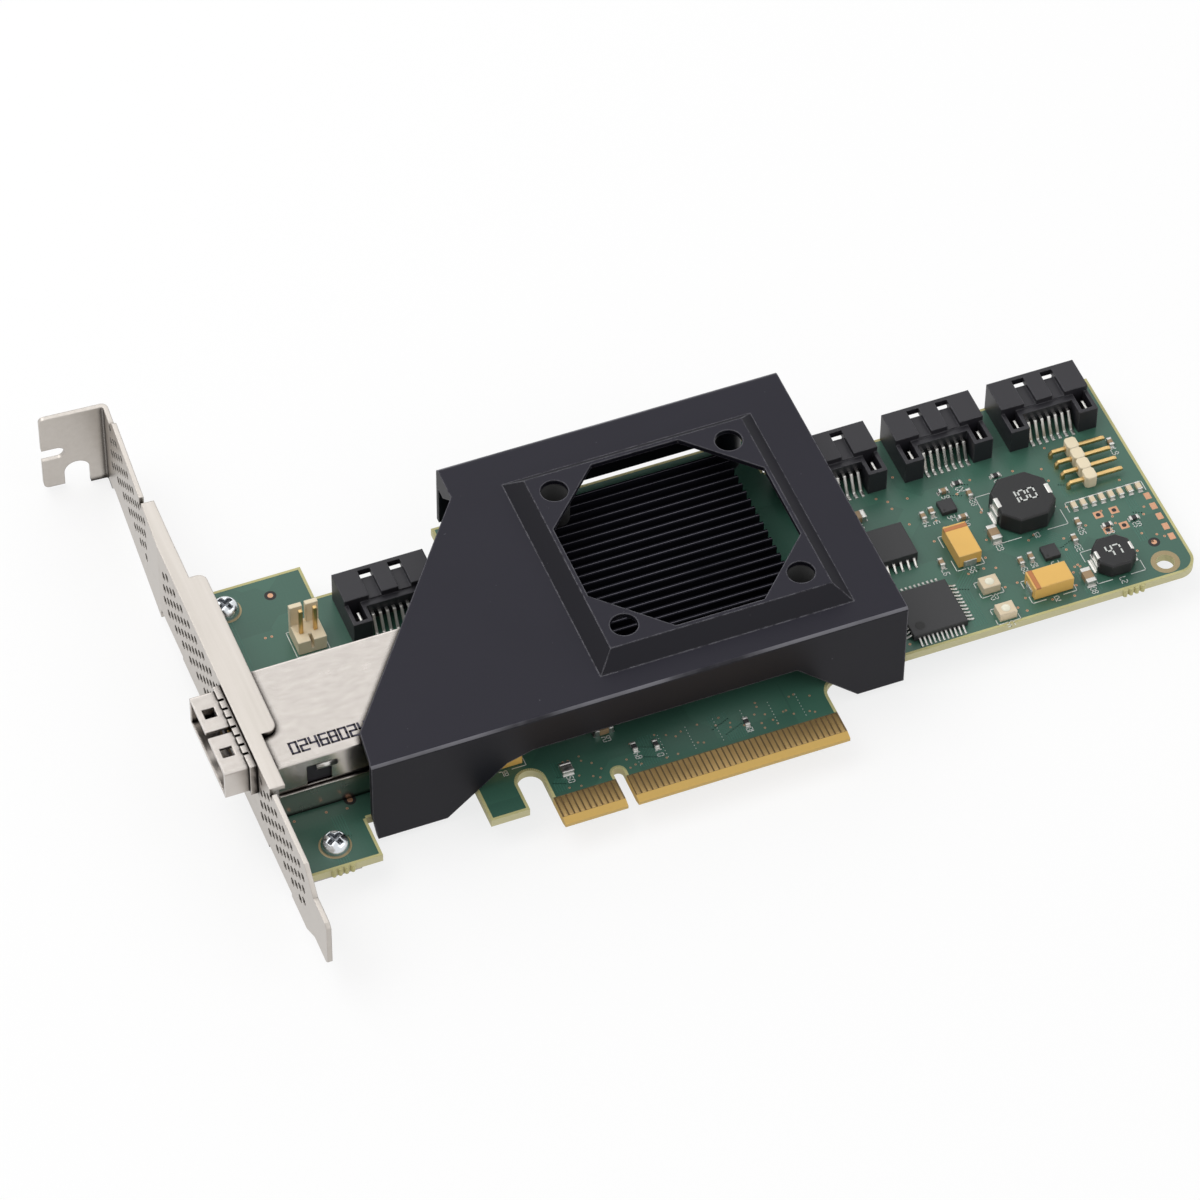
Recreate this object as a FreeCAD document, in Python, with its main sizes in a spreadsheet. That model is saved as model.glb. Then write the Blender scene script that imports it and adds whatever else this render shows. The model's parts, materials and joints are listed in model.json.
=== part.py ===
"""Low-profile RAID controller card on a full-height bracket, as a parametric document.

Frame, in millimetres: X runs along the card from the bracket (-X) to the far end, Y up the card from
the tips of the gold fingers to the drive ports, Z out of the component face.  The origin is at the
middle of the key notch in the edge connector, on the finger tips, in the component face of the board.
"""
import FreeCAD, Part
import math
import os

import Sketcher
from FreeCAD import Placement, Rotation, Vector

os.makedirs("parts", exist_ok=True)
doc = FreeCAD.newDocument("raid_controller_card")
sheet = doc.addObject("Spreadsheet::Sheet", "Sizes")

# ---------------------------------------------------------------- driving dimensions
SIZES = {
    # circuit board
    "board_thickness": 1.57,
    "board_height": 68.9,
    "board_left": 57.2,
    "board_foot": 13.0,
    "board_end_margin": 3.2,
    "board_corner": 3.4,
    "port_ledge_drop": 8.7,
    "port_ledge_margin": 2.0,
    "left_ledge_drop": 7.4,
    "left_ledge_margin": 2.7,
    "left_ledge_width": 24.0,
    "left_tab_foot": 4.7,
    "left_tab_width": 14.5,
    "middle_tab_foot": 4.9,
    "middle_tab_width": 6.9,
    "side_notch_width": 4.45,
    "side_notch_top": 12.7,
    # edge connector
    "finger_pitch": 1.0,
    "finger_width": 0.7,
    "finger_top": 5.6,
    "finger_foot": 1.4,
    "finger_plating": 0.05,
    "first_finger": 1.5,
    "tongue_margin": 0.65,
    "key_width": 1.9,
    "key_top": 7.9,
    "tongue_bevel_length": 1.3,
    "tongue_bevel_depth": 0.45,
    "tongue_root_radius": 3.5,
    # mounting bracket
    "bracket_sheet": 0.86,
    "bracket_gap": 0.99,
    "bracket_width": 18.42,
    "bracket_rise": 14.4,
    "bracket_height": 120.02,
    "bracket_top": 106.4,
    "bracket_lean": 3.6,
    "fold_gap": 0.4,
    "tail_width": 10.19,
    "tail_length": 6.2,
    "tail_corner": 0.8,
    "shoulder": 4.1,
    "tab_length": 11.43,
    "tab_overhang": 1.9,
    "tab_step": 2.1,
    "tab_neck": 5.0,
    "tab_shoulder": 1.4,
    "tab_notch_width": 4.6,
    "tab_notch_depth": 6.0,
    "tab_notch_offset": 5.35,
    "tab_slit_width": 2.7,
    "tab_slit_depth": 4.1,
    "tab_slit_offset": 9.1,
    "tab_leg_step": 0.95,
    "bend_radius": 1.2,
    "bend_inner_radius": 0.35,
    "flange_foot": 13.4,
    "flange_narrow_reach": 2.75,
    "flange_wide_foot": 25.0,
    "flange_wide_reach": 5.55,
    "flange_wide_top": 61.5,
    "flange_upper_reach": 2.85,
    "flange_end_reach": 2.3,
    "flange_top": 80.2,
    "flange_corner": 1.5,
    "relief_width": 1.3,
    "relief_depth": 1.7,
    "foot_width": 8.5,
    "foot_reach": 12.8,
    "foot_hole_clearance": 0.1,
    "face_step": 1.5,
    "vent_hole": 1.5,
    "vent_pitch": 3.1,
    "vent_column_step": 1.85,
    "vent_low": 2.2,
    "vent_high": 11.6,
    "vent_bottom": -2.45,
    "vent_port_gap": 1.8,
    "vent_fold_gap": 2.25,
    "vent_upper_gap": 8.5,
    "vent_upper_length": 22.6,
    # bracket screws
    "bracket_screw_inset": 7.8,
    "bracket_screw_low": 9.4,
    "bracket_screw_drop": 4.8,
    "bracket_screw_shank": 2.8,
    "bracket_screw_head": 5.0,
    "bracket_screw_rise": 2.2,
    "bracket_screw_tail": 0.9,
    "screw_hole_clearance": 0.4,
    # external port
    "cage_sheet": 0.5,
    "cage_flange_gap": 0.14,
    "cage_seam_height": 6.3,
    "cage_front": 17.95,
    "cage_width": 21.3,
    "cage_start": 2.24,
    "cage_length": 33.5,
    "cage_lip": 0.5,
    "cage_fold_radius": 0.45,
    "nose_reach": 5.55,
    "nose_width": 17.7,
    "nose_height": 6.3,
    "nose_sheet": 0.6,
    "nose_slot_width": 1.3,
    "nose_slot_depth": 4.6,
    "nose_window": 2.1,
    "nose_window_inset": 1.0,
    "nose_window_spacing": 8.85,
    "nose_clearance": 0.35,
    "gasket_sheet": 0.4,
    "gasket_reach": 1.3,
    "gasket_slot": 0.5,
    "gasket_pitch": 2.05,
    "gasket_slot_depth": 0.9,
    "catch_window_width": 4.3,
    "catch_window_height": 4.6,
    "catch_window_start": 5.0,
    "catch_window_foot": 0.5,
    "port_tongue_thickness": 1.4,
    "port_tongue_width": 14.0,
    "port_tongue_inset": 3.6,
    "port_core_inset": 9.5,
    "port_contact_width": 0.35,
    "port_contact_pitch": 0.8,
    "port_contact_thickness": 0.12,
    "port_contact_reach": 4.0,
    "port_contact_inset": 0.5,
    # drive ports
    "port_pitch": 20.0,
    "port_width": 16.5,
    "port_row_start": 50.3,
    "port_left_offset": 31.5,
    "port_set_back": 0.1,
    "port_height": 6.2,
    "port_block_depth": 6.5,
    "port_ear_depth": 4.6,
    "port_ear_width": 3.5,
    "port_ear_height": 5.0,
    "port_bar_depth": 1.2,
    "port_bar_foot": 3.0,
    "port_wall": 1.3,
    "port_mouth_depth": 5.2,
    "port_blade_thickness": 1.2,
    "port_blade_width": 10.4,
    "port_blade_set_back": 0.8,
    "port_blade_hook": 1.9,
    "latch_width": 2.3,
    "latch_depth": 0.9,
    "latch_spacing": 5.4,
    "latch_window": 1.1,
    "latch_window_set_back": 0.7,
    "port_pin_pitch": 1.27,
    "port_pin_width": 0.55,
    "port_pin_thickness": 0.25,
    "port_pin_height": 3.4,
    "port_pin_shelf": 0.9,
    "port_pin_reach": 3.7,
    "port_pin_foot": 1.2,
    "clip_thickness": 0.4,
    "clip_width": 2.0,
    "clip_height": 3.6,
    "clip_slot_margin": 0.7,
    "clip_slot_floor": 1.0,
    "clip_gap": 0.2,
    # cooling cover
    "cover_sheet": 1.0,
    "cover_cage_gap": 0.1,
    "cover_front_gap": 0.6,
    "cover_rear_overhang": 0.7,
    "cover_right": 54.0,
    "cover_left": 42.0,
    "cover_back_left": 8.8,
    "cover_side_straight": 7.2,
    "cover_slant_foot": 19.3,
    "cover_rear_foot": 1.4,
    "cover_leg_drop": 4.4,
    "cover_left_taper": 0.9,
    "cover_left_knee": 1.5,
    "cover_left_leg": 12.3,
    "cover_left_slope": 10.7,
    "cover_arch_knee": 1.5,
    "cover_arch_height": 6.8,
    "cover_arch_step": 4.6,
    "cover_right_leg": 8.5,
    "cover_right_slope": 11.5,
    "cover_fold_radius": 0.7,
    "gusset_drop": 4.5,
    "gusset_width": 3.2,
    "plinth_centre_across": 23.2,
    "plinth_centre_share": 0.4651,
    "plinth_top": 40.0,
    "plinth_rise": 2.9,
    "fan_opening": 38.6,
    "fan_opening_flat": 16.0,
    "fan_hole_spacing": 32.0,
    "fan_hole": 4.8,
    "post_diameter": 5.0,
    "post_thread": 2.3,
    "left_post_rise": 11.0,
    "right_post_rise": 4.5,
    "rear_post_inset": 3.7,
    # controller and heat sink
    "chip_size": 31.0,
    "chip_substrate": 1.1,
    "chip_lid": 23.0,
    "chip_lid_rise": 1.0,
    "thermal_pad_thickness": 0.4,
    "sink_length": 38.0,
    "sink_width": 40.6,
    "sink_base": 2.2,
    "sink_fin_pitch": 1.9,
    "sink_fin_thickness": 0.7,
    "sink_fin_height": 4.8,
    "sink_centre_across": 21.4,
    "sink_boss": 4.0,
    "sink_boss_inset": 2.6,
    "small_screw_shank": 2.1,
    "small_screw_head": 4.2,
    "small_screw_rise": 1.4,
    "small_screw_grip": 2.4,
    # headers
    "header_pitch": 2.54,
    "header_pin": 0.64,
    "pin_clearance": 0.02,
    "pin_taper": 0.5,
    "fan_header_across": 38.5,
    "fan_header_up": 50.2,
    "fan_header_depth": 5.1,
    "fan_header_block": 3.0,
    "fan_header_wall": 7.5,
    "fan_header_wall_sheet": 0.9,
    "fan_header_pin_top": 8.6,
    "fan_header_slot": 0.6,
    "fan_header_slot_depth": 1.6,
    "fan_header_pin_inset": 2.3,
    "light_header_from_end": 10.9,
    "light_header_up": 36.4,
    "light_header_body": 2.2,
    "light_header_height": 2.5,
    "light_header_pin_reach": 5.2,
    "light_header_leg_reach": 2.8,
    "light_header_groove": 0.3,
    # round the power supply
    "choke_size": 10.3,
    "choke_height": 4.0,
    "choke_cut": 2.6,
    "choke_from_end": 23.4,
    "choke_up": 35.9,
    "small_choke_size": 6.9,
    "small_choke_height": 3.0,
    "small_choke_cut": 1.7,
    "small_choke_from_end": 13.5,
    "small_choke_up": 19.6,
    "choke_stand": 0.3,
    "choke_tab_width": 3.0,
    "choke_tab_sheet": 0.3,
    "choke_tab_reach": 0.7,
    "choke_tab_share": 0.55,
    "tantalum_1_from_end": 36.8,
    "tantalum_1_up": 31.3,
    "tantalum_2_from_end": 26.1,
    "tantalum_2_up": 18.4,
    "tantalum_3_gap": 5.8,
    "tantalum_3_rise": 3.6,
    "tantalum_length": 7.3,
    "tantalum_width": 4.2,
    "tantalum_height": 2.9,
    "tantalum_tab_width": 2.4,
    "tantalum_tab_sheet": 0.15,
    "tantalum_tab_rise": 1.5,
    "tantalum_tab_tuck": 1.2,
    # chips
    "regulator_size": 2.8,
    "regulator_height": 0.9,
    "flash_length": 10.3,
    "flash_width": 7.5,
    "flash_height": 2.2,
    "flash_from_cover": 0.9,
    "flash_up": 35.6,
    "flash_lead_pitch": 1.27,
    "flash_lead_width": 0.42,
    "flash_lead_reach": 1.5,
    "logic_size": 10.0,
    "logic_height": 1.4,
    "logic_from_cover": 3.4,
    "logic_up": 20.3,
    "logic_lead_pitch": 0.8,
    "logic_lead_width": 0.35,
    "logic_lead_reach": 1.6,
    "lead_thickness": 0.2,
    "lead_stand": 0.1,
    "lead_foot": 0.6,
    "memory_length": 12.5,
    "memory_width": 8.0,
    "memory_height": 1.1,
    "memory_pitch": 13.6,
    "memory_gap": 1.6,
    # lamps and small parts
    "status_lamp_pitch": 1.76,
    "status_lamp_length": 1.7,
    "status_lamp_width": 0.9,
    "status_lamp_height": 0.7,
    "status_lamp_from_end": 14.6,
    "status_lamp_up": 33.4,
    "beacon_lamp_length": 3.2,
    "beacon_lamp_width": 2.6,
    "beacon_lamp_height": 1.7,
    "chip_part_length": 1.6,
    "chip_part_width": 0.8,
    "chip_part_height": 0.8,
    "resistor_height": 0.45,
    "big_chip_part_length": 3.2,
    "big_chip_part_width": 1.7,
    "big_chip_part_height": 1.3,
    "underside_pitch": 4.0,
    "sink_capacitor_up": 16.2,
    "fuse_size": 2.0,
    "fuse_height": 0.9,
    "fuse_inset": 4.2,
    "fuse_up": 10.5,
    # mounting hole at the far end
    "mount_hole": 3.2,
    "mount_hole_from_end": 5.1,
    "mount_hole_up": 16.2,
}


class Size:
    """A length that carries its value and the sheet expression that it comes from."""

    def __init__(self, value, text):
        self.value = float(value)
        self.text = text

    @staticmethod
    def of(other):
        return other if isinstance(other, Size) else Size(other, f"({float(other)!r})")

    def __add__(self, other):
        other = Size.of(other)
        return Size(self.value + other.value, f"({self.text} + {other.text})")

    def __sub__(self, other):
        other = Size.of(other)
        return Size(self.value - other.value, f"({self.text} - {other.text})")

    def __mul__(self, factor):
        factor = Size.of(factor)
        return Size(self.value * factor.value, f"({self.text} * {factor.text})")

    def __truediv__(self, factor):
        return Size(self.value / factor, f"({self.text} / {float(factor)!r})")

    def __neg__(self):
        return Size(-self.value, f"(-1 * {self.text})")

    def __radd__(self, other):
        return Size.of(other) + self

    def __rsub__(self, other):
        return Size.of(other) - self

    __rmul__ = __mul__


class Sizes:
    """The sheet's cells, read as attributes."""

    def __getattr__(self, name):
        return Size(sheet.get(name), f"Sizes.{name}")


def fill_sheet():
    """Write every driving dimension into the sheet, one row each, with its alias."""
    for row, (name, value) in enumerate(SIZES.items(), start=1):
        sheet.set(f"A{row}", name.replace("_", " "))
        sheet.set(f"B{row}", str(value))
        sheet.setAlias(f"B{row}", name)
    doc.recompute()


fill_sheet()
S = Sizes()
ZERO = Size(0.0, "0")
BEYOND = 1.0
NEARLY = 0.98

# ---------------------------------------------------------------- small building tools
PLANES = {"XY": "XY_Plane", "XZ": "XZ_Plane", "YZ": "YZ_Plane"}


def bind(item, path, size):
    """Give a property its value through an expression on the sheet."""
    item.setExpression(path, Size.of(size).text)


def new_body(label):
    body = doc.addObject("PartDesign::Body", label)
    body.Label = label
    return body


def new_sketch(body, name, plane, offset):
    """Sketch on one of the body's own origin planes, moved along its normal by offset."""
    sketch = body.newObject("Sketcher::SketchObject", name)
    origin = [item for item in body.Origin.OriginFeatures if item.Role == PLANES[plane]][0]
    sketch.AttachmentSupport = [(origin, "")]
    sketch.MapMode = "FlatFace"
    height = -Size.of(offset) if plane == "XZ" else Size.of(offset)
    bind(sketch, "AttachmentOffset.Base.z", height)
    return sketch


def tie_point(sketch, geometry, vertex, x, y):
    """Hold one vertex at a place given by two sizes."""
    for kind, size in (("DistanceX", Size.of(x)), ("DistanceY", Size.of(y))):
        number = sketch.addConstraint(Sketcher.Constraint(kind, -1, 1, geometry, vertex, size.value))
        sketch.setExpression(f"Constraints[{number}]", size.text)


def draw_outline(sketch, points):
    """Closed polygon whose corners are tied to the sheet."""
    points = [(Size.of(x), Size.of(y)) for x, y in points]
    first = sketch.GeometryCount
    for (x1, y1), (x2, y2) in zip(points, points[1:] + points[:1]):
        sketch.addGeometry(Part.LineSegment(Vector(x1.value, y1.value, 0), Vector(x2.value, y2.value, 0)))
    for index, (x, y) in enumerate(points):
        following = first + (index + 1) % len(points)
        sketch.addConstraint(Sketcher.Constraint("Coincident", first + index, 2, following, 1))
        tie_point(sketch, first + index, 1, x, y)


def draw_circle(sketch, x, y, diameter):
    x, y, diameter = Size.of(x), Size.of(y), Size.of(diameter)
    circle = Part.Circle(Vector(x.value, y.value, 0), Vector(0, 0, 1), diameter.value / 2)
    geometry = sketch.addGeometry(circle)
    tie_point(sketch, geometry, 3, x, y)
    number = sketch.addConstraint(Sketcher.Constraint("Diameter", geometry, diameter.value))
    sketch.setExpression(f"Constraints[{number}]", diameter.text)


def rectangle(x1, x2, y1, y2):
    return [(x1, y1), (x2, y1), (x2, y2), (x1, y2)]


def pad(body, name, plane, offset, depth, outlines=(), circles=(), flipped=False):
    """Add material from the sketch plane: +Z from XY, +X from YZ and -Y from XZ, or the other way."""
    sketch = new_sketch(body, f"{name}_sketch", plane, offset)
    for outline in outlines:
        draw_outline(sketch, outline)
    for circle in circles:
        draw_circle(sketch, *circle)
    feature = body.newObject("PartDesign::Pad", name)
    feature.Profile = sketch
    feature.Reversed = flipped
    bind(feature, "Length", depth)
    body.Tip = feature
    return feature


def pocket(body, name, plane, offset, depth, outlines=(), circles=()):
    """Cut from the sketch plane: -Z from XY, -X from YZ and +Y from XZ."""
    sketch = new_sketch(body, f"{name}_sketch", plane, offset)
    for outline in outlines:
        draw_outline(sketch, outline)
    for circle in circles:
        draw_circle(sketch, *circle)
    doc.recompute()
    before = body.Shape.Volume
    feature = body.newObject("PartDesign::Pocket", name)
    feature.Profile = sketch
    bind(feature, "Length", depth)
    body.Tip = feature
    doc.recompute()
    if not feature.Shape.Volume < before - 1e-6:
        raise RuntimeError(f"{name} cuts nothing")
    return feature


def edges_where(shape, test):
    """Names of the straight edges whose two ends pass the test."""
    names = []
    for number, edge in enumerate(shape.Edges, start=1):
        if len(edge.Vertexes) == 2 and test(edge.Vertexes[0].Point, edge.Vertexes[1].Point):
            names.append(f"Edge{number}")
    return names


def along(axis, *places):
    """Test for edges parallel to an axis that stand at one of the places in the other two."""
    others = [index for index in range(3) if index != axis]
    places = [tuple(Size.of(value).value for value in place) for place in places]

    def test(a, b):
        if abs(a[axis] - b[axis]) < 1e-3:
            return False
        return any(all(abs(point[index] - place[slot]) < 1e-3
                       for slot, index in enumerate(others) for point in (a, b))
                   for place in places)
    return test


def soften(body, name, kind, radius, test):
    """Fillet or chamfer the body's edges that pass the test."""
    doc.recompute()
    base = body.Tip
    names = edges_where(base.Shape, test)
    if not names:
        raise RuntimeError(f"{name} finds no edge")
    feature = body.newObject(f"PartDesign::{kind}", name)
    feature.Base = (base, names)
    bind(feature, "Radius" if kind == "Fillet" else "Size", radius)
    body.Tip = feature
    doc.recompute()
    if feature.Shape.isNull():
        raise RuntimeError(f"{name} can't be made")
    return feature


def box(name, x, y, z, length, width, height):
    """Part box with its corner and its three sizes bound to the sheet."""
    item = doc.addObject("Part::Box", name)
    for path, size in (("Length", length), ("Width", width), ("Height", height),
                       ("Placement.Base.x", x), ("Placement.Base.y", y), ("Placement.Base.z", z)):
        bind(item, path, size)
    return item


def centred_box(name, x, y, z, length, width, height):
    return box(name, x - length / 2, y - width / 2, z, length, width, height)


def group(label, items):
    """Separate solids kept together in one sub-part."""
    item = doc.addObject("Part::Compound", label)
    item.Label = label
    item.Links = items
    return item


def solids(label, shapes):
    """Sub-part made of separate solids computed with Part's own functions."""
    item = doc.addObject("Part::Feature", label)
    item.Label = label
    item.Shape = Part.makeCompound(shapes)
    item.Placement = Placement()
    return item


def prism(points, start, direction):
    """Solid swept along a direction from a closed polygon of 3-D points."""
    corners = [Vector(*point) + start for point in points]
    face = Part.Face(Part.makePolygon(corners + corners[:1]))
    return face.extrude(direction)


def turned(profile, centre):
    """Solid of revolution about Z from (radius, height) points."""
    points = [Vector(radius, 0, height) for radius, height in profile]
    face = Part.Face(Part.makePolygon(points + points[:1]))
    shape = face.revolve(Vector(0, 0, 0), Vector(0, 0, 1), 360)
    shape.translate(centre)
    return shape


# ---------------------------------------------------------------- derived places
BOARD_TOP = ZERO
BOARD_UNDER = -S.board_thickness
FINGERS_BEFORE_KEY = 11
FINGERS_AFTER_KEY = 38
TONGUE_LEFT = -(S.first_finger + (FINGERS_BEFORE_KEY - 1) * S.finger_pitch + S.tongue_margin)
TONGUE_RIGHT = S.first_finger + (FINGERS_AFTER_KEY - 1) * S.finger_pitch + S.tongue_margin
BOARD_LEFT = -S.board_left
PORTS_IN_ROW = 3
PORT_PINS = 7
BOARD_RIGHT = S.port_row_start + (PORTS_IN_ROW - 1) * S.port_pitch + S.port_width + S.board_end_margin
PORT_LEDGE = S.board_height - S.port_ledge_drop
PORT_LEDGE_START = S.port_row_start - S.port_ledge_margin
LEFT_LEDGE = S.board_height - S.left_ledge_drop
LEFT_LEDGE_START = -(S.port_left_offset + S.left_ledge_margin)
LEFT_LEDGE_END = LEFT_LEDGE_START + S.left_ledge_width
BRACKET_INNER = BOARD_LEFT - S.bracket_gap
BRACKET_OUTER = BRACKET_INNER - S.bracket_sheet
BRACKET_HIGH = S.bracket_rise
BRACKET_LOW = S.bracket_rise - S.bracket_width
FLANGE_UNDER = BRACKET_HIGH - S.bracket_sheet
FOOT_TOP = BOARD_UNDER
FOOT_UNDER = FOOT_TOP - S.bracket_sheet
SCREW_ACROSS = BOARD_LEFT + S.bracket_screw_inset
BRACKET_SCREW_HIGH = S.board_height - S.bracket_screw_drop
BRACKET_SCREWS = [(SCREW_ACROSS, S.bracket_screw_low), (SCREW_ACROSS, BRACKET_SCREW_HIGH)]
CAGE_TOP = FLANGE_UNDER - S.cage_flange_gap
CAGE_START = BRACKET_INNER + S.cage_start
CAGE_END = CAGE_START + S.cage_length
CAGE_BACK = S.cage_front + S.cage_width
CAGE_MIDDLE = S.cage_front + S.cage_width / 2
NOSE_START = BRACKET_OUTER - S.nose_reach
NOSE_FRONT = CAGE_MIDDLE - S.nose_width / 2
NOSE_BACK = CAGE_MIDDLE + S.nose_width / 2
NOSE_FOOT = CAGE_TOP - S.nose_height
COVER_UNDER = CAGE_TOP + S.cover_cage_gap
COVER_TOP = COVER_UNDER + S.cover_sheet
COVER_FRONT = S.board_foot - S.cover_front_gap - S.cover_sheet
COVER_LEFT = -S.cover_left
COVER_BACK_LEFT = -S.cover_back_left
COVER_REAR = S.board_height + S.cover_rear_overhang
PLINTH_X = S.plinth_centre_across
PLINTH_Y = S.board_foot + (S.board_height - S.board_foot) * S.plinth_centre_share
PLINTH_HEIGHT = COVER_TOP + S.plinth_rise
SINK_LEFT = S.sink_centre_across - S.sink_length / 2
SINK_FRONT = PLINTH_Y - S.sink_width / 2
SINK_SEAT = S.chip_substrate + S.chip_lid_rise + S.thermal_pad_thickness
MOUNT_HOLE = (BOARD_RIGHT - S.mount_hole_from_end, S.mount_hole_up)
COVER_POSTS = [
    (TONGUE_LEFT - S.post_diameter, S.board_foot + S.left_post_rise),
    (COVER_BACK_LEFT + S.post_diameter, S.board_height - S.rear_post_inset),
    (PORT_LEDGE_START - S.post_diameter, S.board_height - S.rear_post_inset),
    (S.cover_right - S.post_diameter, S.board_foot + S.right_post_rise),
]
SINK_BOSSES = [(SINK_LEFT + S.sink_boss_inset, SINK_FRONT + S.sink_boss_inset),
               (SINK_LEFT + S.sink_length - S.sink_boss_inset,
                SINK_FRONT + S.sink_width - S.sink_boss_inset)]


# ---------------------------------------------------------------- circuit board
def make_board():
    """Board outline with its ledges, tabs, key notch and holes, cut from one laminate."""
    tab_right = BOARD_LEFT + S.left_tab_width
    notch_left = TONGUE_LEFT - S.side_notch_width
    middle_left = notch_left - S.middle_tab_width
    key = S.key_width / 2
    outline = [
        (BOARD_LEFT, S.left_tab_foot), (tab_right, S.left_tab_foot), (tab_right, S.board_foot),
        (middle_left, S.board_foot), (middle_left, S.middle_tab_foot), (notch_left, S.middle_tab_foot),
        (notch_left, S.side_notch_top), (TONGUE_LEFT, S.side_notch_top), (TONGUE_LEFT, ZERO),
        (-key, ZERO), (-key, S.key_top), (key, S.key_top), (key, ZERO),
        (TONGUE_RIGHT, ZERO), (TONGUE_RIGHT, S.board_foot), (BOARD_RIGHT, S.board_foot),
        (BOARD_RIGHT, PORT_LEDGE), (PORT_LEDGE_START, PORT_LEDGE), (PORT_LEDGE_START, S.board_height),
        (LEFT_LEDGE_END, S.board_height), (LEFT_LEDGE_END, LEFT_LEDGE),
        (LEFT_LEDGE_START, LEFT_LEDGE), (LEFT_LEDGE_START, S.board_height), (BOARD_LEFT, S.board_height),
    ]
    big_hole = S.bracket_screw_shank + S.screw_hole_clearance
    small_hole = S.small_screw_shank + S.screw_hole_clearance
    holes = [(x, y, big_hole) for x, y in BRACKET_SCREWS]
    holes += [(x, y, small_hole) for x, y in COVER_POSTS + SINK_BOSSES]
    holes.append((*MOUNT_HOLE, S.mount_hole))
    body = new_body("circuit_board")
    pad(body, "laminate", "XY", BOARD_UNDER, S.board_thickness, [outline], holes)
    bevel, depth = S.tongue_bevel_length, S.tongue_bevel_depth
    pocket(body, "tongue_bevel", "YZ", TONGUE_RIGHT + BEYOND, TONGUE_RIGHT - TONGUE_LEFT + 2 * BEYOND,
           [[(ZERO, BOARD_TOP - depth), (bevel, BOARD_TOP), (ZERO, BOARD_TOP)],
            [(ZERO, BOARD_UNDER), (bevel, BOARD_UNDER), (ZERO, BOARD_UNDER + depth)]])
    soften(body, "side_notch_round", "Fillet", S.side_notch_width / 2 * NEARLY,
           along(2, (notch_left, S.side_notch_top), (TONGUE_LEFT, S.side_notch_top)))
    soften(body, "key_round", "Fillet", key * NEARLY, along(2, (-key, S.key_top), (key, S.key_top)))
    soften(body, "tongue_root", "Fillet", S.tongue_root_radius, along(2, (TONGUE_RIGHT, S.board_foot)))
    soften(body, "far_corner", "Fillet", S.board_corner, along(2, (BOARD_RIGHT, S.board_foot)))
    return body


def make_edge_contacts():
    """Gold fingers on both faces of the tongue."""
    places = [-(S.first_finger.value + n * S.finger_pitch.value) for n in range(FINGERS_BEFORE_KEY)]
    places += [S.first_finger.value + n * S.finger_pitch.value for n in range(FINGERS_AFTER_KEY)]
    width, plating = S.finger_width.value, S.finger_plating.value
    length = (S.finger_top - S.finger_foot).value
    shapes = []
    for level in (BOARD_TOP.value, BOARD_UNDER.value - plating):
        for place in places:
            corner = Vector(place - width / 2, S.finger_foot.value, level)
            shapes.append(Part.makeBox(width, length, plating, corner))
    return solids("edge_contacts", shapes)


# ---------------------------------------------------------------- mounting bracket
FOOT_HALF = S.foot_width / 2 + S.relief_width
FOLD = BRACKET_SCREW_HIGH + FOOT_HALF + S.fold_gap
FACE_MIDDLE = (BRACKET_HIGH + BRACKET_LOW) / 2


def vent_places():
    """Places of the staggered vent holes on the bracket face, as (up, out) pairs."""
    step, pitch = S.vent_column_step.value, S.vent_pitch.value
    gap = S.vent_port_gap
    upper = (FOLD + S.vent_upper_gap).value
    groups = [
        (S.vent_bottom.value, (NOSE_FRONT - gap).value, pitch / 2),
        ((NOSE_BACK + gap).value, (FOLD - S.vent_fold_gap).value, 0.0),
        (upper, upper + S.vent_upper_length.value, 0.0),
    ]
    places = []
    for start, end, first_shift in groups:
        for column in range(int((end - start) / step) + 1):
            shift = first_shift if column % 2 == 0 else pitch / 2 - first_shift
            out = S.vent_low.value + shift
            while out <= S.vent_high.value:
                places.append((start + column * step, out))
                out += pitch
    return places


def make_vent_punches():
    """Six-sided punches along X, long enough to pass the leaning part of the face."""
    radius = S.vent_hole.value / math.sqrt(3)
    corners = [(0, radius * math.cos(math.radians(60 * k)), radius * math.sin(math.radians(60 * k)))
               for k in range(6)]
    start = BRACKET_OUTER.value - BEYOND
    lean = (S.bracket_top - FOLD).value * math.tan(math.radians(S.bracket_lean.value))
    run = Vector(S.bracket_sheet.value + lean + 2 * BEYOND, 0, 0)
    punches = doc.addObject("Part::Feature", "vent_punches")
    punches.Shape = Part.makeCompound([prism(corners, Vector(start, up, out), run)
                                       for up, out in vent_places()])
    return punches


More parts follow.
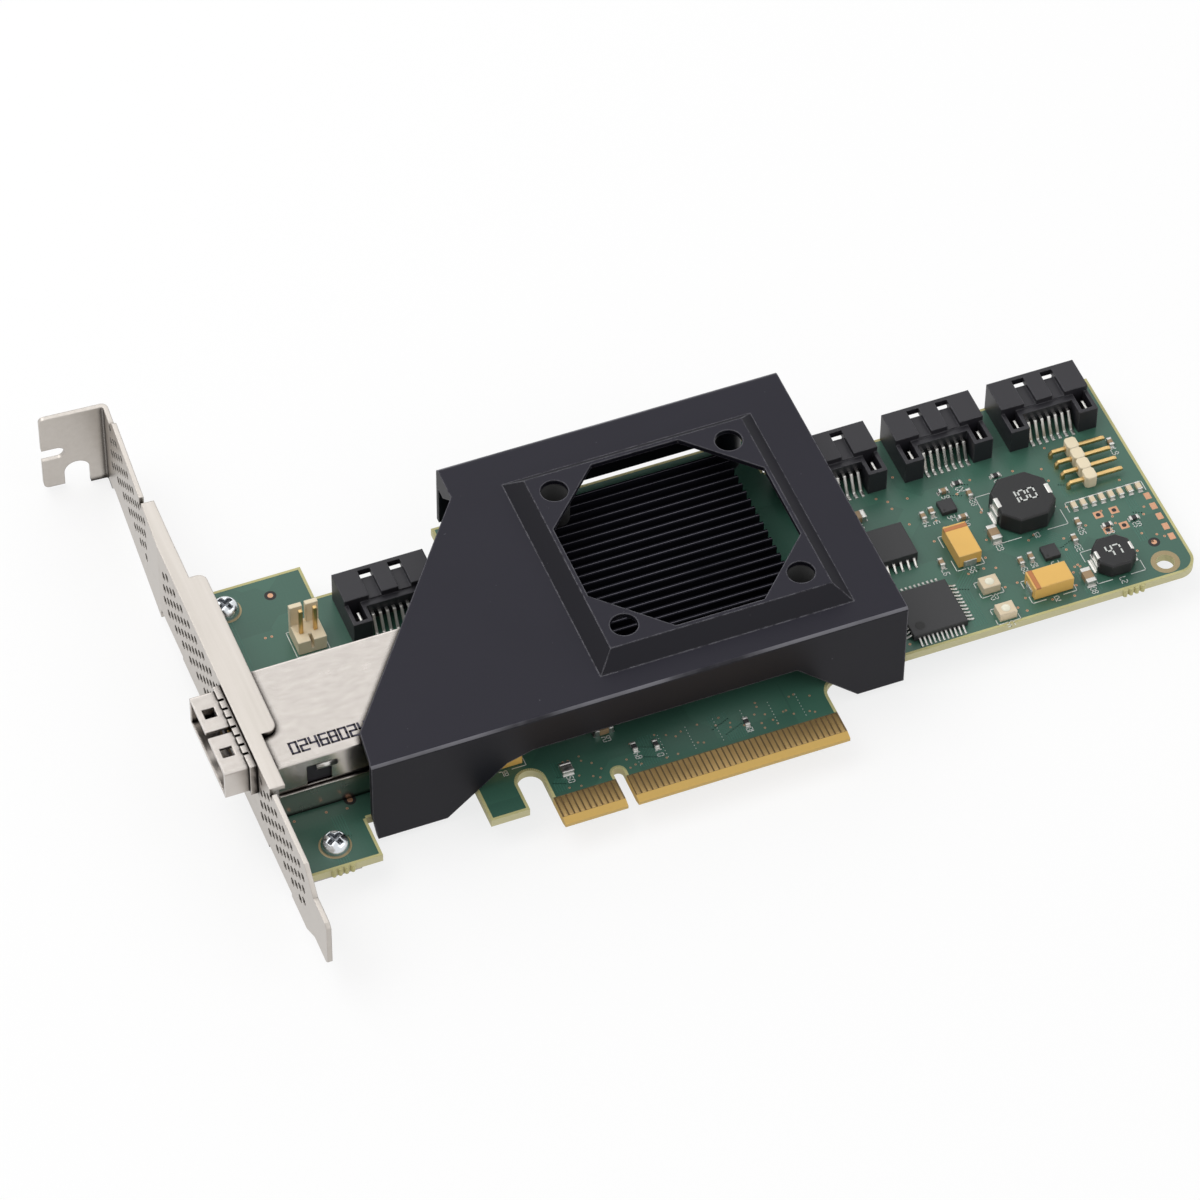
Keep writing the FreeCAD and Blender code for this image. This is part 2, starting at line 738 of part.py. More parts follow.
def make_bracket_body():
    """Straight part of the bracket: tail, face with the port opening, wide flange and two feet."""
    low, high = BRACKET_LOW + S.face_step, BRACKET_HIGH
    end = S.bracket_top - S.bracket_height
    tail_low, tail_high = FACE_MIDDLE - S.tail_width / 2, FACE_MIDDLE + S.tail_width / 2
    tail_root, corner = end + S.tail_length, S.tail_corner
    relief, depth = S.relief_width, S.relief_depth
    face = [(end, tail_low + corner), (end, tail_high - corner), (end + corner, tail_high),
            (tail_root, tail_high), (tail_root + S.shoulder, high)]
    face += [(S.flange_foot - relief, high), (S.flange_foot - relief, high - depth),
             (S.flange_foot, high - depth), (S.flange_foot, high), (FOLD, high), (FOLD, low)]
    for x, y in reversed(BRACKET_SCREWS):
        face += [(y + FOOT_HALF, low), (y + FOOT_HALF, FOOT_UNDER),
                 (y - FOOT_HALF, FOOT_UNDER), (y - FOOT_HALF, low)]
    face += [(tail_root + S.shoulder, low), (tail_root, tail_low), (end + corner, tail_low)]
    body = new_body("bracket_body")
    pad(body, "bracket_face", "YZ", BRACKET_OUTER, S.bracket_sheet, [face])
    narrow, wide = BRACKET_OUTER + S.flange_narrow_reach, BRACKET_OUTER + S.flange_wide_reach
    upper = BRACKET_OUTER + S.flange_upper_reach
    flange = [(BRACKET_OUTER, S.flange_foot), (narrow, S.flange_foot), (narrow, S.flange_wide_foot),
              (wide, S.flange_wide_foot), (wide, S.flange_wide_top), (upper, S.flange_wide_top),
              (upper, FOLD), (BRACKET_OUTER, FOLD)]
    pad(body, "side_flange", "XY", FLANGE_UNDER, S.bracket_sheet, [flange])
    hole = S.bracket_screw_shank + S.foot_hole_clearance
    for index, (x, y) in enumerate(BRACKET_SCREWS, start=1):
        plate = rectangle(BRACKET_OUTER, BRACKET_OUTER + S.foot_reach,
                          y - S.foot_width / 2, y + S.foot_width / 2)
        pad(body, f"board_foot_{index}", "XY", FOOT_UNDER, S.bracket_sheet, [plate], [(x, y, hole)])
    gap = S.nose_clearance
    opening = rectangle(NOSE_FRONT - gap, NOSE_BACK + gap, NOSE_FOOT - gap, FLANGE_UNDER)
    pocket(body, "port_opening", "YZ", BRACKET_INNER + BEYOND, S.bracket_sheet + 2 * BEYOND, [opening])
    soften(body, "foot_bends", "Fillet", S.bend_inner_radius * 2,
           lambda a, b: along(1, (BRACKET_OUTER, FOOT_UNDER))(a, b)
           and abs(a.y - b.y) < 2 * FOOT_HALF.value + BEYOND)
    soften(body, "flange_corners", "Fillet", S.flange_corner,
           along(2, (wide, S.flange_wide_top), (wide, S.flange_wide_foot)))
    return body


def make_bracket_head():
    """Upper part of the bracket, drawn upright and then leaned about the fold."""
    top, low, high = S.bracket_top, BRACKET_LOW, BRACKET_HIGH
    relief, depth = S.relief_width, S.relief_depth
    neck_low, neck_high = low - S.tab_overhang, high - S.tab_step
    neck, shoulder = top - S.tab_neck, S.tab_shoulder
    face = [(FOLD, low), (FOLD, high), (S.flange_top, high), (S.flange_top, high - depth),
            (S.flange_top + relief, high - depth), (S.flange_top + relief, high),
            (neck - S.tab_step, high), (neck, neck_high), (top, neck_high), (top, neck_low),
            (neck + shoulder, neck_low), (neck + shoulder - S.tab_overhang, low)]
    body = new_body("bracket_head")
    pad(body, "head_face", "YZ", BRACKET_OUTER, S.bracket_sheet, [face])
    flange_end = BRACKET_OUTER + S.flange_end_reach
    flange = [(BRACKET_OUTER, FOLD), (BRACKET_OUTER + S.flange_upper_reach, FOLD),
              (flange_end, S.flange_top), (BRACKET_OUTER, S.flange_top)]
    pad(body, "head_flange", "XY", FLANGE_UNDER, S.bracket_sheet, [flange])

    tab_end = BRACKET_OUTER - S.tab_length
    notch, half = BRACKET_OUTER - S.tab_notch_offset, S.tab_notch_width / 2
    slit, slit_half = neck_low + S.tab_slit_offset, S.tab_slit_width / 2
    slit_end, leg_foot = tab_end + S.tab_slit_depth, neck_low + S.tab_leg_step
    notch_top = neck_low + S.tab_notch_depth
    tab = [(BRACKET_INNER, neck_low), (BRACKET_INNER, neck_high), (tab_end, neck_high),
           (tab_end, slit + slit_half), (slit_end, slit + slit_half), (slit_end, slit - slit_half),
           (tab_end, slit - slit_half), (tab_end, leg_foot), (notch - half, leg_foot),
           (notch - half, notch_top), (notch + half, notch_top), (notch + half, neck_low)]
    pad(body, "screw_tab", "XZ", top - S.bracket_sheet, S.bracket_sheet, [tab], flipped=True)
    soften(body, "tab_bend_outside", "Fillet", S.bend_radius, along(2, (BRACKET_INNER, top)))
    soften(body, "tab_bend_inside", "Fillet", S.bend_inner_radius,
           along(2, (BRACKET_OUTER, top - S.bracket_sheet)))
    soften(body, "tab_notch_round", "Fillet", half * NEARLY,
           along(1, (notch - half, notch_top), (notch + half, notch_top)))
    soften(body, "tab_slit_round", "Fillet", slit_half * NEARLY,
           along(1, (slit_end, slit + slit_half), (slit_end, slit - slit_half)))
    soften(body, "tab_corners", "Fillet", S.flange_corner / 1.5,
           along(1, (tab_end, neck_high), (tab_end, leg_foot)))
    body.Placement = Placement(Vector(), Rotation(Vector(0, 0, 1), -1.0))
    cosine, sine = "cos(Sizes.bracket_lean * 1deg)", "sin(Sizes.bracket_lean * 1deg)"
    across, up = BRACKET_OUTER.text, FOLD.text
    body.setExpression("Placement.Rotation.Angle", "-Sizes.bracket_lean * 1deg")
    body.setExpression("Placement.Base.x", f"{across} * (1 - {cosine}) - {up} * {sine}")
    body.setExpression("Placement.Base.y", f"{up} * (1 - {cosine}) + {across} * {sine}")
    return body


def make_bracket():
    """Folded sheet: the straight body and the leaning head in one piece, then the vent holes."""
    sheet_metal = doc.addObject("Part::MultiFuse", "bracket_sheet_metal")
    sheet_metal.Shapes = [make_bracket_body(), make_bracket_head()]
    sheet_metal.Refine = True
    bracket = doc.addObject("Part::Cut", "mounting_bracket")
    bracket.Base = sheet_metal
    bracket.Tool = make_vent_punches()
    bracket.Label = "mounting_bracket"
    return bracket


def screw(centre, seat, shank, head, rise, length, pointing_down=True):
    """Pan-head machine screw seated at a height, its shank running away from its head."""
    radius = head / 2
    rim, crown = 0.55 * rise, 0.65 * radius
    shape = turned([(0, 0), (radius, 0), (radius, rim), (crown, rise), (0, rise)], Vector(0, 0, 0))
    shape = shape.fuse(Part.makeCylinder(shank / 2, length, Vector(0, 0, -length)))
    cross_arm, cross_width, cross_floor = 0.55 * head, 0.16 * head, 0.55 * rise
    for across, up in ((cross_arm, cross_width), (cross_width, cross_arm)):
        shape = shape.cut(Part.makeBox(across, up, rise, Vector(-across / 2, -up / 2, cross_floor)))
    if not pointing_down:
        shape = shape.mirror(Vector(0, 0, 0), Vector(0, 0, 1))
    shape.translate(Vector(centre[0].value, centre[1].value, seat.value))
    return shape


def make_bracket_screws():
    length = (S.board_thickness + S.bracket_sheet + S.bracket_screw_tail).value
    return solids("bracket_screws", [
        screw(place, BOARD_TOP, S.bracket_screw_shank.value, S.bracket_screw_head.value,
              S.bracket_screw_rise.value, length) for place in BRACKET_SCREWS])


# ---------------------------------------------------------------- external port
def make_port_cage():
    """Folded upper shell of the external port, with the nose that passes through the bracket."""
    sheet_metal, top = S.cage_sheet, CAGE_TOP
    body = new_body("external_port_cage")
    rise = top - S.cage_seam_height
    pad(body, "cage_block", "XY", S.cage_seam_height, rise,
        [rectangle(CAGE_START, CAGE_END, S.cage_front, CAGE_BACK)])
    pad(body, "nose_block", "YZ", NOSE_START, CAGE_START - NOSE_START,
        [rectangle(NOSE_FRONT, NOSE_BACK, NOSE_FOOT, top)])
    pocket(body, "cage_hollow", "XY", top - sheet_metal, rise,
           [rectangle(CAGE_START + sheet_metal, CAGE_END - sheet_metal,
                      S.cage_front + sheet_metal, CAGE_BACK - sheet_metal)])
    wall = S.nose_sheet
    pocket(body, "nose_hollow", "YZ", CAGE_START + BEYOND, CAGE_START - NOSE_START + 2 * BEYOND,
           [rectangle(NOSE_FRONT + wall, NOSE_BACK - wall, NOSE_FOOT + wall, top - wall)])
    half_window, spacing = S.nose_window / 2, S.nose_window_spacing / 2
    window_start = NOSE_START + S.nose_window_inset
    windows = [rectangle(window_start, window_start + S.nose_window,
                         middle - half_window, middle + half_window)
               for middle in (CAGE_MIDDLE - spacing, CAGE_MIDDLE + spacing)]
    slot = rectangle(NOSE_START - BEYOND, NOSE_START + S.nose_slot_depth,
                     CAGE_MIDDLE - S.nose_slot_width / 2, CAGE_MIDDLE + S.nose_slot_width / 2)
    pocket(body, "nose_windows", "XY", top + BEYOND, wall + 2 * BEYOND, windows + [slot])
    catch = rectangle(CAGE_START + S.catch_window_start,
                      CAGE_START + S.catch_window_start + S.catch_window_width,
                      S.cage_seam_height + S.catch_window_foot,
                      S.cage_seam_height + S.catch_window_foot + S.catch_window_height)
    pocket(body, "catch_window", "XZ", S.cage_front - BEYOND, sheet_metal + 2 * BEYOND, [catch])
    soften(body, "cage_folds", "Fillet", S.cage_fold_radius,
           along(0, (S.cage_front, top), (CAGE_BACK, top), (NOSE_FRONT, top), (NOSE_BACK, top),
                 (NOSE_FRONT, NOSE_FOOT), (NOSE_BACK, NOSE_FOOT)))
    return body


def make_port_gasket():
    """Spring collar that closes the gap between the nose and the bracket's opening."""
    body = new_body("external_port_gasket")
    start, grip = BRACKET_OUTER - S.gasket_reach, S.gasket_sheet
    outside = rectangle(NOSE_FRONT - grip, NOSE_BACK + grip, NOSE_FOOT - grip, CAGE_TOP + grip)
    inside = rectangle(NOSE_FRONT, NOSE_BACK, NOSE_FOOT, CAGE_TOP)
    pad(body, "collar", "YZ", start, S.gasket_reach, [outside, inside])
    half, slots = S.gasket_slot / 2, []
    for index in (-3, -2, -1, 0, 1, 2, 3):
        middle = CAGE_MIDDLE + index * S.gasket_pitch
        slots.append(rectangle(start - BEYOND, start + S.gasket_slot_depth, middle - half, middle + half))
    pocket(body, "collar_slots", "XY", CAGE_TOP + grip, S.nose_height + 2 * grip, slots)
    return body


def make_port_base():
    """Lower shell that lifts the port off the board, with a lip along the seam."""
    body = new_body("external_port_base")
    sheet_metal, lip = S.cage_sheet, S.cage_lip
    pad(body, "base_block", "XY", BOARD_TOP, S.cage_seam_height,
        [rectangle(CAGE_START, CAGE_END, S.cage_front, CAGE_BACK)])
    pad(body, "seam_lip", "XY", S.cage_seam_height - sheet_metal, sheet_metal,
        [rectangle(CAGE_START, CAGE_END, S.cage_front - lip, CAGE_BACK + lip)])
    pocket(body, "base_hollow", "XY", S.cage_seam_height - sheet_metal * 2, S.cage_seam_height,
           [rectangle(CAGE_START + sheet_metal, CAGE_END - sheet_metal,
                      S.cage_front + sheet_metal, CAGE_BACK - sheet_metal)])
    return body


def make_port_insert():
    """Moulded core with the contact tongue that stands in the mouth."""
    body = new_body("external_port_insert")
    core_start = NOSE_START + S.port_core_inset
    edge = S.cage_sheet
    middle = (NOSE_FOOT + CAGE_TOP) / 2
    pad(body, "core", "XY", S.cage_seam_height, CAGE_TOP - edge - S.cage_seam_height,
        [rectangle(core_start, CAGE_END - edge, S.cage_front + edge, CAGE_BACK - edge)])
    half, thick = S.port_tongue_width / 2, S.port_tongue_thickness / 2
    pad(body, "contact_tongue", "YZ", NOSE_START + S.port_tongue_inset, S.port_core_inset,
        [rectangle(CAGE_MIDDLE - half, CAGE_MIDDLE + half, middle - thick, middle + thick)])
    return body


def make_port_contacts():
    """Gold contacts on both faces of the tongue."""
    thick, width = S.port_contact_thickness.value, S.port_contact_width.value
    pitch = S.port_contact_pitch.value
    middle = (NOSE_FOOT.value + CAGE_TOP.value) / 2
    half = S.port_tongue_thickness.value / 2
    count = int((S.port_tongue_width.value - width) / pitch)
    start = (NOSE_START + S.port_tongue_inset + S.port_contact_inset).value
    shapes = []
    for level in (middle + half, middle - half - thick):
        for index in range(count):
            y = CAGE_MIDDLE.value + (index - (count - 1) / 2) * pitch
            shapes.append(Part.makeBox(S.port_contact_reach.value, width, thick,
                                       Vector(start, y - width / 2, level)))
    return solids("external_port_contacts", shapes)


# ---------------------------------------------------------------- drive ports
def port_places():
    """Left side and mouth of each drive port, as sizes."""
    places = [(-S.port_left_offset, PORT_LEDGE - S.port_set_back)]
    for index in range(PORTS_IN_ROW):
        places.append((S.port_row_start + index * S.port_pitch, PORT_LEDGE - S.port_set_back))
    return places


def make_drive_port(number, left, mouth):
    """Right-angle drive port: mouth towards +Y, latch grooves on top, ears and bar behind."""
    right, middle = left + S.port_width, left + S.port_width / 2
    block_back = mouth - S.port_block_depth
    ear_back = block_back - S.port_ear_depth
    wall, top = S.port_wall, S.port_height
    body = new_body(f"drive_port_{number}")
    pad(body, f"port_block_{number}", "XY", BOARD_TOP, top, [rectangle(left, right, block_back, mouth)])
    ears = [rectangle(left, left + S.port_ear_width, ear_back, block_back),
            rectangle(right - S.port_ear_width, right, ear_back, block_back)]
    pad(body, f"port_ears_{number}", "XY", BOARD_TOP, S.port_ear_height, ears)
    pad(body, f"port_bar_{number}", "XY", S.port_bar_foot, S.port_ear_height - S.port_bar_foot,
        [rectangle(left + S.port_ear_width, right - S.port_ear_width,
                   block_back - S.port_bar_depth, block_back)])
    cavity = rectangle(left + wall, right - wall, wall, top - wall)
    pocket(body, f"port_mouth_{number}", "XZ", mouth - S.port_mouth_depth, S.port_mouth_depth + BEYOND,
           [cavity])
    half = S.latch_spacing / 2
    grooves, windows = [], []
    for centre in (middle - half, middle + half):
        a, b = centre - S.latch_width / 2, centre + S.latch_width / 2
        front = mouth - S.latch_window_set_back
        grooves.append(rectangle(a, b, block_back - BEYOND, front))
        windows.append(rectangle(a, b, front - S.latch_window, front))
    pocket(body, f"latch_grooves_{number}", "XY", top + BEYOND, S.latch_depth + BEYOND, grooves)
    pocket(body, f"latch_windows_{number}", "XY", top + BEYOND, wall + 2 * BEYOND, windows)
    blade_low = (top - S.port_blade_thickness) / 2
    blade = S.port_blade_width / 2
    hook = [(middle - blade, blade_low), (middle + blade, blade_low),
            (middle + blade, blade_low + S.port_blade_hook),
            (middle + blade - S.port_blade_thickness, blade_low + S.port_blade_hook),
            (middle + blade - S.port_blade_thickness, blade_low + S.port_blade_thickness),
            (middle - blade, blade_low + S.port_blade_thickness)]
    pad(body, f"port_blade_{number}", "XZ", mouth - S.port_blade_set_back,
        S.port_mouth_depth - S.port_blade_set_back + BEYOND, [hook])
    margin = S.clip_slot_margin
    slots = [rectangle(a + margin, a + S.port_ear_width - margin, ear_back + margin, block_back)
             for a in (left, right - S.port_ear_width)]
    pocket(body, f"clip_slots_{number}", "XY", S.port_ear_height + BEYOND,
           S.port_ear_height - S.clip_slot_floor + BEYOND, slots)
    return body


def make_drive_pins(number, left, mouth):
    """Seven contact legs behind a drive port, stepping down to the board."""
    middle = (left + S.port_width / 2).value
    root = (mouth - S.port_block_depth - S.port_bar_depth).value
    thick, width = S.port_pin_thickness.value, S.port_pin_width.value
    height, reach = S.port_pin_height.value, S.port_pin_reach.value
    shelf, foot = S.port_pin_shelf.value, S.port_pin_foot.value
    profile = [(0, root, height), (0, root - shelf, height), (0, root - reach + foot, thick),
               (0, root - reach, thick), (0, root - reach, 0), (0, root - reach + foot + thick, 0),
               (0, root - shelf + thick, height - thick), (0, root, height - thick)]
    shapes = []
    for index in range(PORT_PINS):
        x = middle + (index - (PORT_PINS - 1) / 2) * S.port_pin_pitch.value - width / 2
        shapes.append(prism(profile, Vector(x, 0, 0), Vector(width, 0, 0)))
    return solids(f"drive_port_pins_{number}", shapes)


def make_drive_clips(number, left, mouth):
    """Hold-down plates that stand in the slots of a port's two ears."""
    ear_back = mouth - S.port_block_depth - S.port_ear_depth
    items = []
    for side, a in (("near", left), ("far", left + S.port_width - S.port_ear_width)):
        centre = a + S.port_ear_width / 2
        items.append(box(f"clip_{side}_{number}", centre - S.clip_thickness / 2,
                         ear_back + S.clip_slot_margin + S.clip_gap, S.clip_slot_floor,
                         S.clip_thickness, S.clip_width, S.clip_height))
    return group(f"drive_port_clips_{number}", items)


# ---------------------------------------------------------------- cooling cover
def frustum(body, name, kind, low_z, low_half, high_z, high_half):
    """Square frustum about the plinth centre, added to or taken from the body."""
    sections = []
    for tag, level, half in (("low", low_z, low_half), ("high", high_z, high_half)):
        sketch = new_sketch(body, f"{name}_{tag}", "XY", level)
        draw_outline(sketch, rectangle(PLINTH_X - half, PLINTH_X + half, PLINTH_Y - half, PLINTH_Y + half))
        sections.append(sketch)
    doc.recompute()
    loft = body.newObject(f"PartDesign::{kind}Loft", name)
    loft.Profile = sections[0]
    loft.Sections = [sections[1]]
    loft.Ruled = True
    body.Tip = loft
    doc.recompute()
    return loft


def make_cover():
    """Moulded air duct: plate with a fan plinth, arched front skirt, rear skirt and posts."""
    sheet_wall, top, under = S.cover_sheet, COVER_TOP, COVER_UNDER
    right, left, back_left = S.cover_right, COVER_LEFT, COVER_BACK_LEFT
    rear, front = COVER_REAR, COVER_FRONT
    body = new_body("cooling_cover")
    plate = [(left, front), (right, front), (right, rear), (back_left, rear),
             (back_left, rear - S.cover_side_straight), (left + S.cover_left_taper, S.cover_slant_foot)]
    pad(body, "duct_plate", "XY", under, sheet_wall, [plate])
    foot = -S.cover_leg_drop
    taper = S.cover_left_taper
    left_leg, right_leg = left + taper + S.cover_left_leg, right - S.cover_right_leg
    left_arch = left_leg + S.cover_left_slope
    right_arch = right_leg - S.cover_right_slope
    arch = S.cover_arch_height
    skirt = [(left, top), (left, S.cover_left_knee), (left + taper, foot), (left_leg, foot),
             (left_arch, arch - S.cover_arch_knee), (left_arch + S.cover_arch_step, arch), (right_arch, arch),
             (right_leg, foot), (right, foot), (right, top)]
    pad(body, "front_skirt", "XZ", front + sheet_wall, sheet_wall, [skirt])
    pad(body, "rear_skirt", "XZ", rear, sheet_wall, [rectangle(back_left, right, S.cover_rear_foot, top)])
    gusset = [(rear - S.cover_side_straight, top), (rear - S.cover_side_straight, top - sheet_wall),
              (rear - S.gusset_width, top - S.gusset_drop), (rear, top - S.gusset_drop), (rear, top)]
    pad(body, "left_gusset", "YZ", back_left, sheet_wall, [gusset])
    slope = S.plinth_rise
    top_half = S.plinth_top / 2
    frustum(body, "plinth", "Additive", top, top_half + slope, PLINTH_HEIGHT, top_half)
    inner = top_half - sheet_wall * (math.sqrt(2) - 1)
    frustum(body, "plinth_hollow", "Subtractive", under, inner + slope, PLINTH_HEIGHT - sheet_wall, inner)
    reach, flat = S.fan_opening / 2, S.fan_opening_flat / 2
    corners = [(reach, flat), (flat, reach), (-flat, reach), (-reach, flat),
               (-reach, -flat), (-flat, -reach), (flat, -reach), (reach, -flat)]
    opening = [(PLINTH_X + x, PLINTH_Y + y) for x, y in corners]
    offset = S.fan_hole_spacing / 2
    holes = [(PLINTH_X + offset * a, PLINTH_Y + offset * b, S.fan_hole)
             for a, b in ((1, 1), (1, -1), (-1, 1), (-1, -1))]
    pocket(body, "fan_opening", "XY", PLINTH_HEIGHT + BEYOND, sheet_wall + 2 * BEYOND, [opening], holes)
    posts = [(x, y, S.post_diameter) for x, y in COVER_POSTS]
    pad(body, "posts", "XY", BOARD_TOP, under, [], posts)
    pocket(body, "post_threads", "XY", S.small_screw_grip + BEYOND, S.small_screw_grip + 2 * BEYOND, [],
           [(x, y, S.post_thread) for x, y in COVER_POSTS])
    soften(body, "front_fold", "Fillet", S.cover_fold_radius, along(0, (front, top)))
    soften(body, "rear_fold", "Fillet", S.cover_fold_radius * 1.5, along(0, (rear, top)))
    return body


def make_small_screws(label, places):
    """Screws driven up through the board from its solder side."""
    length = (S.board_thickness + S.small_screw_grip).value
    return solids(label, [screw(place, BOARD_UNDER, S.small_screw_shank.value, S.small_screw_head.value,
                                S.small_screw_rise.value, length, pointing_down=False) for place in places])


# ---------------------------------------------------------------- controller and heat sink
def make_controller():
    """Ball-grid package: substrate with its moulded lid."""
    x, y = S.sink_centre_across, PLINTH_Y
    body = new_body("controller_chip")
    half, lid = S.chip_size / 2, S.chip_lid / 2
    pad(body, "substrate", "XY", BOARD_TOP, S.chip_substrate,
        [rectangle(x - half, x + half, y - half, y + half)])
    pad(body, "lid", "XY", S.chip_substrate, S.chip_lid_rise,
        [rectangle(x - lid, x + lid, y - lid, y + lid)])
    return body


def make_thermal_pad():
    half = S.chip_lid / 2
    pad_box = box("thermal_pad", S.sink_centre_across - half, PLINTH_Y - half,
                  S.chip_substrate + S.chip_lid_rise, S.chip_lid, S.chip_lid, S.thermal_pad_thickness)
    pad_box.Label = "thermal_pad"
    return pad_box


def make_heat_sink():
    """Extruded heat sink: base, fins along X and two bosses that stand on the board."""
    body = new_body("heat_sink")
    right, back = SINK_LEFT + S.sink_length, SINK_FRONT + S.sink_width
    pad(body, "sink_base", "XY", SINK_SEAT, S.sink_base, [rectangle(SINK_LEFT, right, SINK_FRONT, back)])
    pad(body, "sink_bosses", "XY", BOARD_TOP, SINK_SEAT, [], [(x, y, S.sink_boss) for x, y in SINK_BOSSES])
    pocket(body, "boss_threads", "XY", SINK_SEAT + S.sink_base / 2, SINK_SEAT + S.sink_base, [],
           [(x, y, S.post_thread) for x, y in SINK_BOSSES])
    count = int(round((S.sink_width.value - S.sink_fin_thickness.value) / S.sink_fin_pitch.value)) + 1
    fin_top = SINK_SEAT + S.sink_base
    fin = pad(body, "sink_fin", "XY", fin_top, S.sink_fin_height,
              [rectangle(SINK_LEFT, right, SINK_FRONT, SINK_FRONT + S.sink_fin_thickness)])
    doc.recompute()
    pattern = body.newObject("PartDesign::LinearPattern", "sink_fins")
    pattern.Originals = [fin]
    pattern.Direction = (fin.Profile[0], ["V_Axis"])
    bind(pattern, "Length", S.sink_width - S.sink_fin_thickness)
    pattern.Occurrences = count
    body.Tip = pattern
    doc.recompute()
    return body


# ---------------------------------------------------------------- headers
LIGHT_HEADER_PINS = 4


def make_fan_header():
    """Two-pin upright header with a slotted block and two locking walls."""
    pitch, x, y = S.header_pitch, -S.fan_header_across, S.fan_header_up
    back = y + S.fan_header_depth
    half = S.fan_header_slot / 2
    body = new_body("fan_header")
    pad(body, "header_block", "XY", BOARD_TOP, S.fan_header_block, [rectangle(x - pitch, x + pitch, y, back)])
    walls = [rectangle(x - pitch, x - half, back - S.fan_header_wall_sheet, back),
             rectangle(x + half, x + pitch, back - S.fan_header_wall_sheet, back)]
    pad(body, "locking_walls", "XY", S.fan_header_block, S.fan_header_wall - S.fan_header_block, walls)
    pocket(body, "front_slot", "XY", S.fan_header_block + BEYOND, S.fan_header_block,
           [rectangle(x - half, x + half, y - BEYOND, y + S.fan_header_slot_depth)])
    bore = S.header_pin + S.pin_clearance
    pin_y = y + S.fan_header_pin_inset
    pocket(body, "pin_bores", "XY", S.fan_header_block + BEYOND, S.fan_header_block + 2 * BEYOND,
           [rectangle(x + s * pitch / 2 - bore / 2, x + s * pitch / 2 + bore / 2,
                      pin_y - bore / 2, pin_y + bore / 2) for s in (-1, 1)])
    pins = [centred_box(f"fan_pin_{k}", x + s * pitch / 2, pin_y, BOARD_TOP,
                        S.header_pin, S.header_pin, S.fan_header_pin_top)
            for k, s in enumerate((-1, 1), start=1)]
    return body, group("fan_header_pins", pins)


def light_header_rows():
    """Heights up the board of the right-angle header's pins."""
    return [S.light_header_up + (index + 0.5) * S.header_pitch for index in range(LIGHT_HEADER_PINS)]


def make_light_header():
    """Four-pin right-angle header body with a groove between the positions."""
    x = BOARD_RIGHT - S.light_header_from_end
    pitch, count = S.header_pitch, LIGHT_HEADER_PINS
    body = new_body("light_header")
    cut = S.light_header_groove
    face, low = x + S.light_header_body, S.light_header_up
    outline = [(x, low), (face - cut, low)]
    for index in range(count):
        start = low + index * pitch
        outline += [(face, start + cut), (face, start + pitch - cut), (face - cut, start + pitch)]
    outline.append((x, low + count * pitch))
    pad(body, "light_header_block", "XY", BOARD_TOP, S.light_header_height, [outline])
    bore = S.header_pin + S.pin_clearance
    level = S.light_header_height / 2
    pocket(body, "light_header_bores", "YZ", face + BEYOND, S.light_header_body + 2 * BEYOND,
           [rectangle(y - bore / 2, y + bore / 2, level - bore / 2, level + bore / 2)
            for y in light_header_rows()])
    return body


def make_light_header_pins():
    """Square pins that run along X through the body and turn down into the board."""
    x = (BOARD_RIGHT - S.light_header_from_end).value
    half = S.header_pin.value / 2
    level = S.light_header_height.value / 2
    tip = x + (S.light_header_body + S.light_header_pin_reach).value
    leg = x - S.light_header_leg_reach.value
    taper = tip - S.pin_taper.value
    shapes = []
    for row in light_header_rows():
        profile = [(tip, 0, level - half / 2), (tip, 0, level + half / 2), (taper, 0, level + half),
                   (leg + half, 0, level + half), (leg - half, 0, level - half), (leg - half, 0, 0),
                   (leg + half, 0, 0), (leg + half, 0, level - half), (taper, 0, level - half)]
        shapes.append(prism(profile, Vector(0, row.value - half, 0), Vector(0, 2 * half, 0)))
    return solids("light_header_pins", shapes)


# ---------------------------------------------------------------- places of the small parts
# Each is (distance from the far end, height up the board) and, for a two-ended part, whether it is turned.
REGULATORS = [(35.3, 41.0), (22.9, 25.0)]
BEACON_LAMPS = [(35.8, 21.8), (35.6, 15.3)]
CAPACITORS = [(38.2, 41.0, True), (40.0, 40.5, True), (30.4, 42.5, True), (34.4, 44.6, False),
              (26.4, 25.3, True), (28.4, 25.0, True), (17.7, 26.4, True), (33.6, 37.9, False),
              (15.6, 29.6, True), (41.3, 29.6, True), (2.6, 44.5, True)]
BIG_CAPACITORS = [(30.3, 32.2, True), (19.2, 17.4, True), (51.0, 44.2, False)]
RESISTORS = [(11.0, 27.4, False), (6.0, 27.2, False), (31.4, 45.6, False), (24.4, 44.8, False),
             (53.0, 42.0, True)]
TONGUE_RESISTORS = [(8.0, 10.2, True), (24.0, 9.2, True), (4.4, 11.0, True)]

# ---------------------------------------------------------------- power parts
CHOKE = (BOARD_RIGHT - S.choke_from_end, S.choke_up)
SMALL_CHOKE = (BOARD_RIGHT - S.small_choke_from_end, S.small_choke_up)
TANTALUMS = [(BOARD_RIGHT - S.tantalum_1_from_end, S.tantalum_1_up, True),
             (BOARD_RIGHT - S.tantalum_2_from_end, S.tantalum_2_up, False),
             (TONGUE_LEFT - S.tantalum_3_gap, S.board_foot + S.tantalum_3_rise, False)]


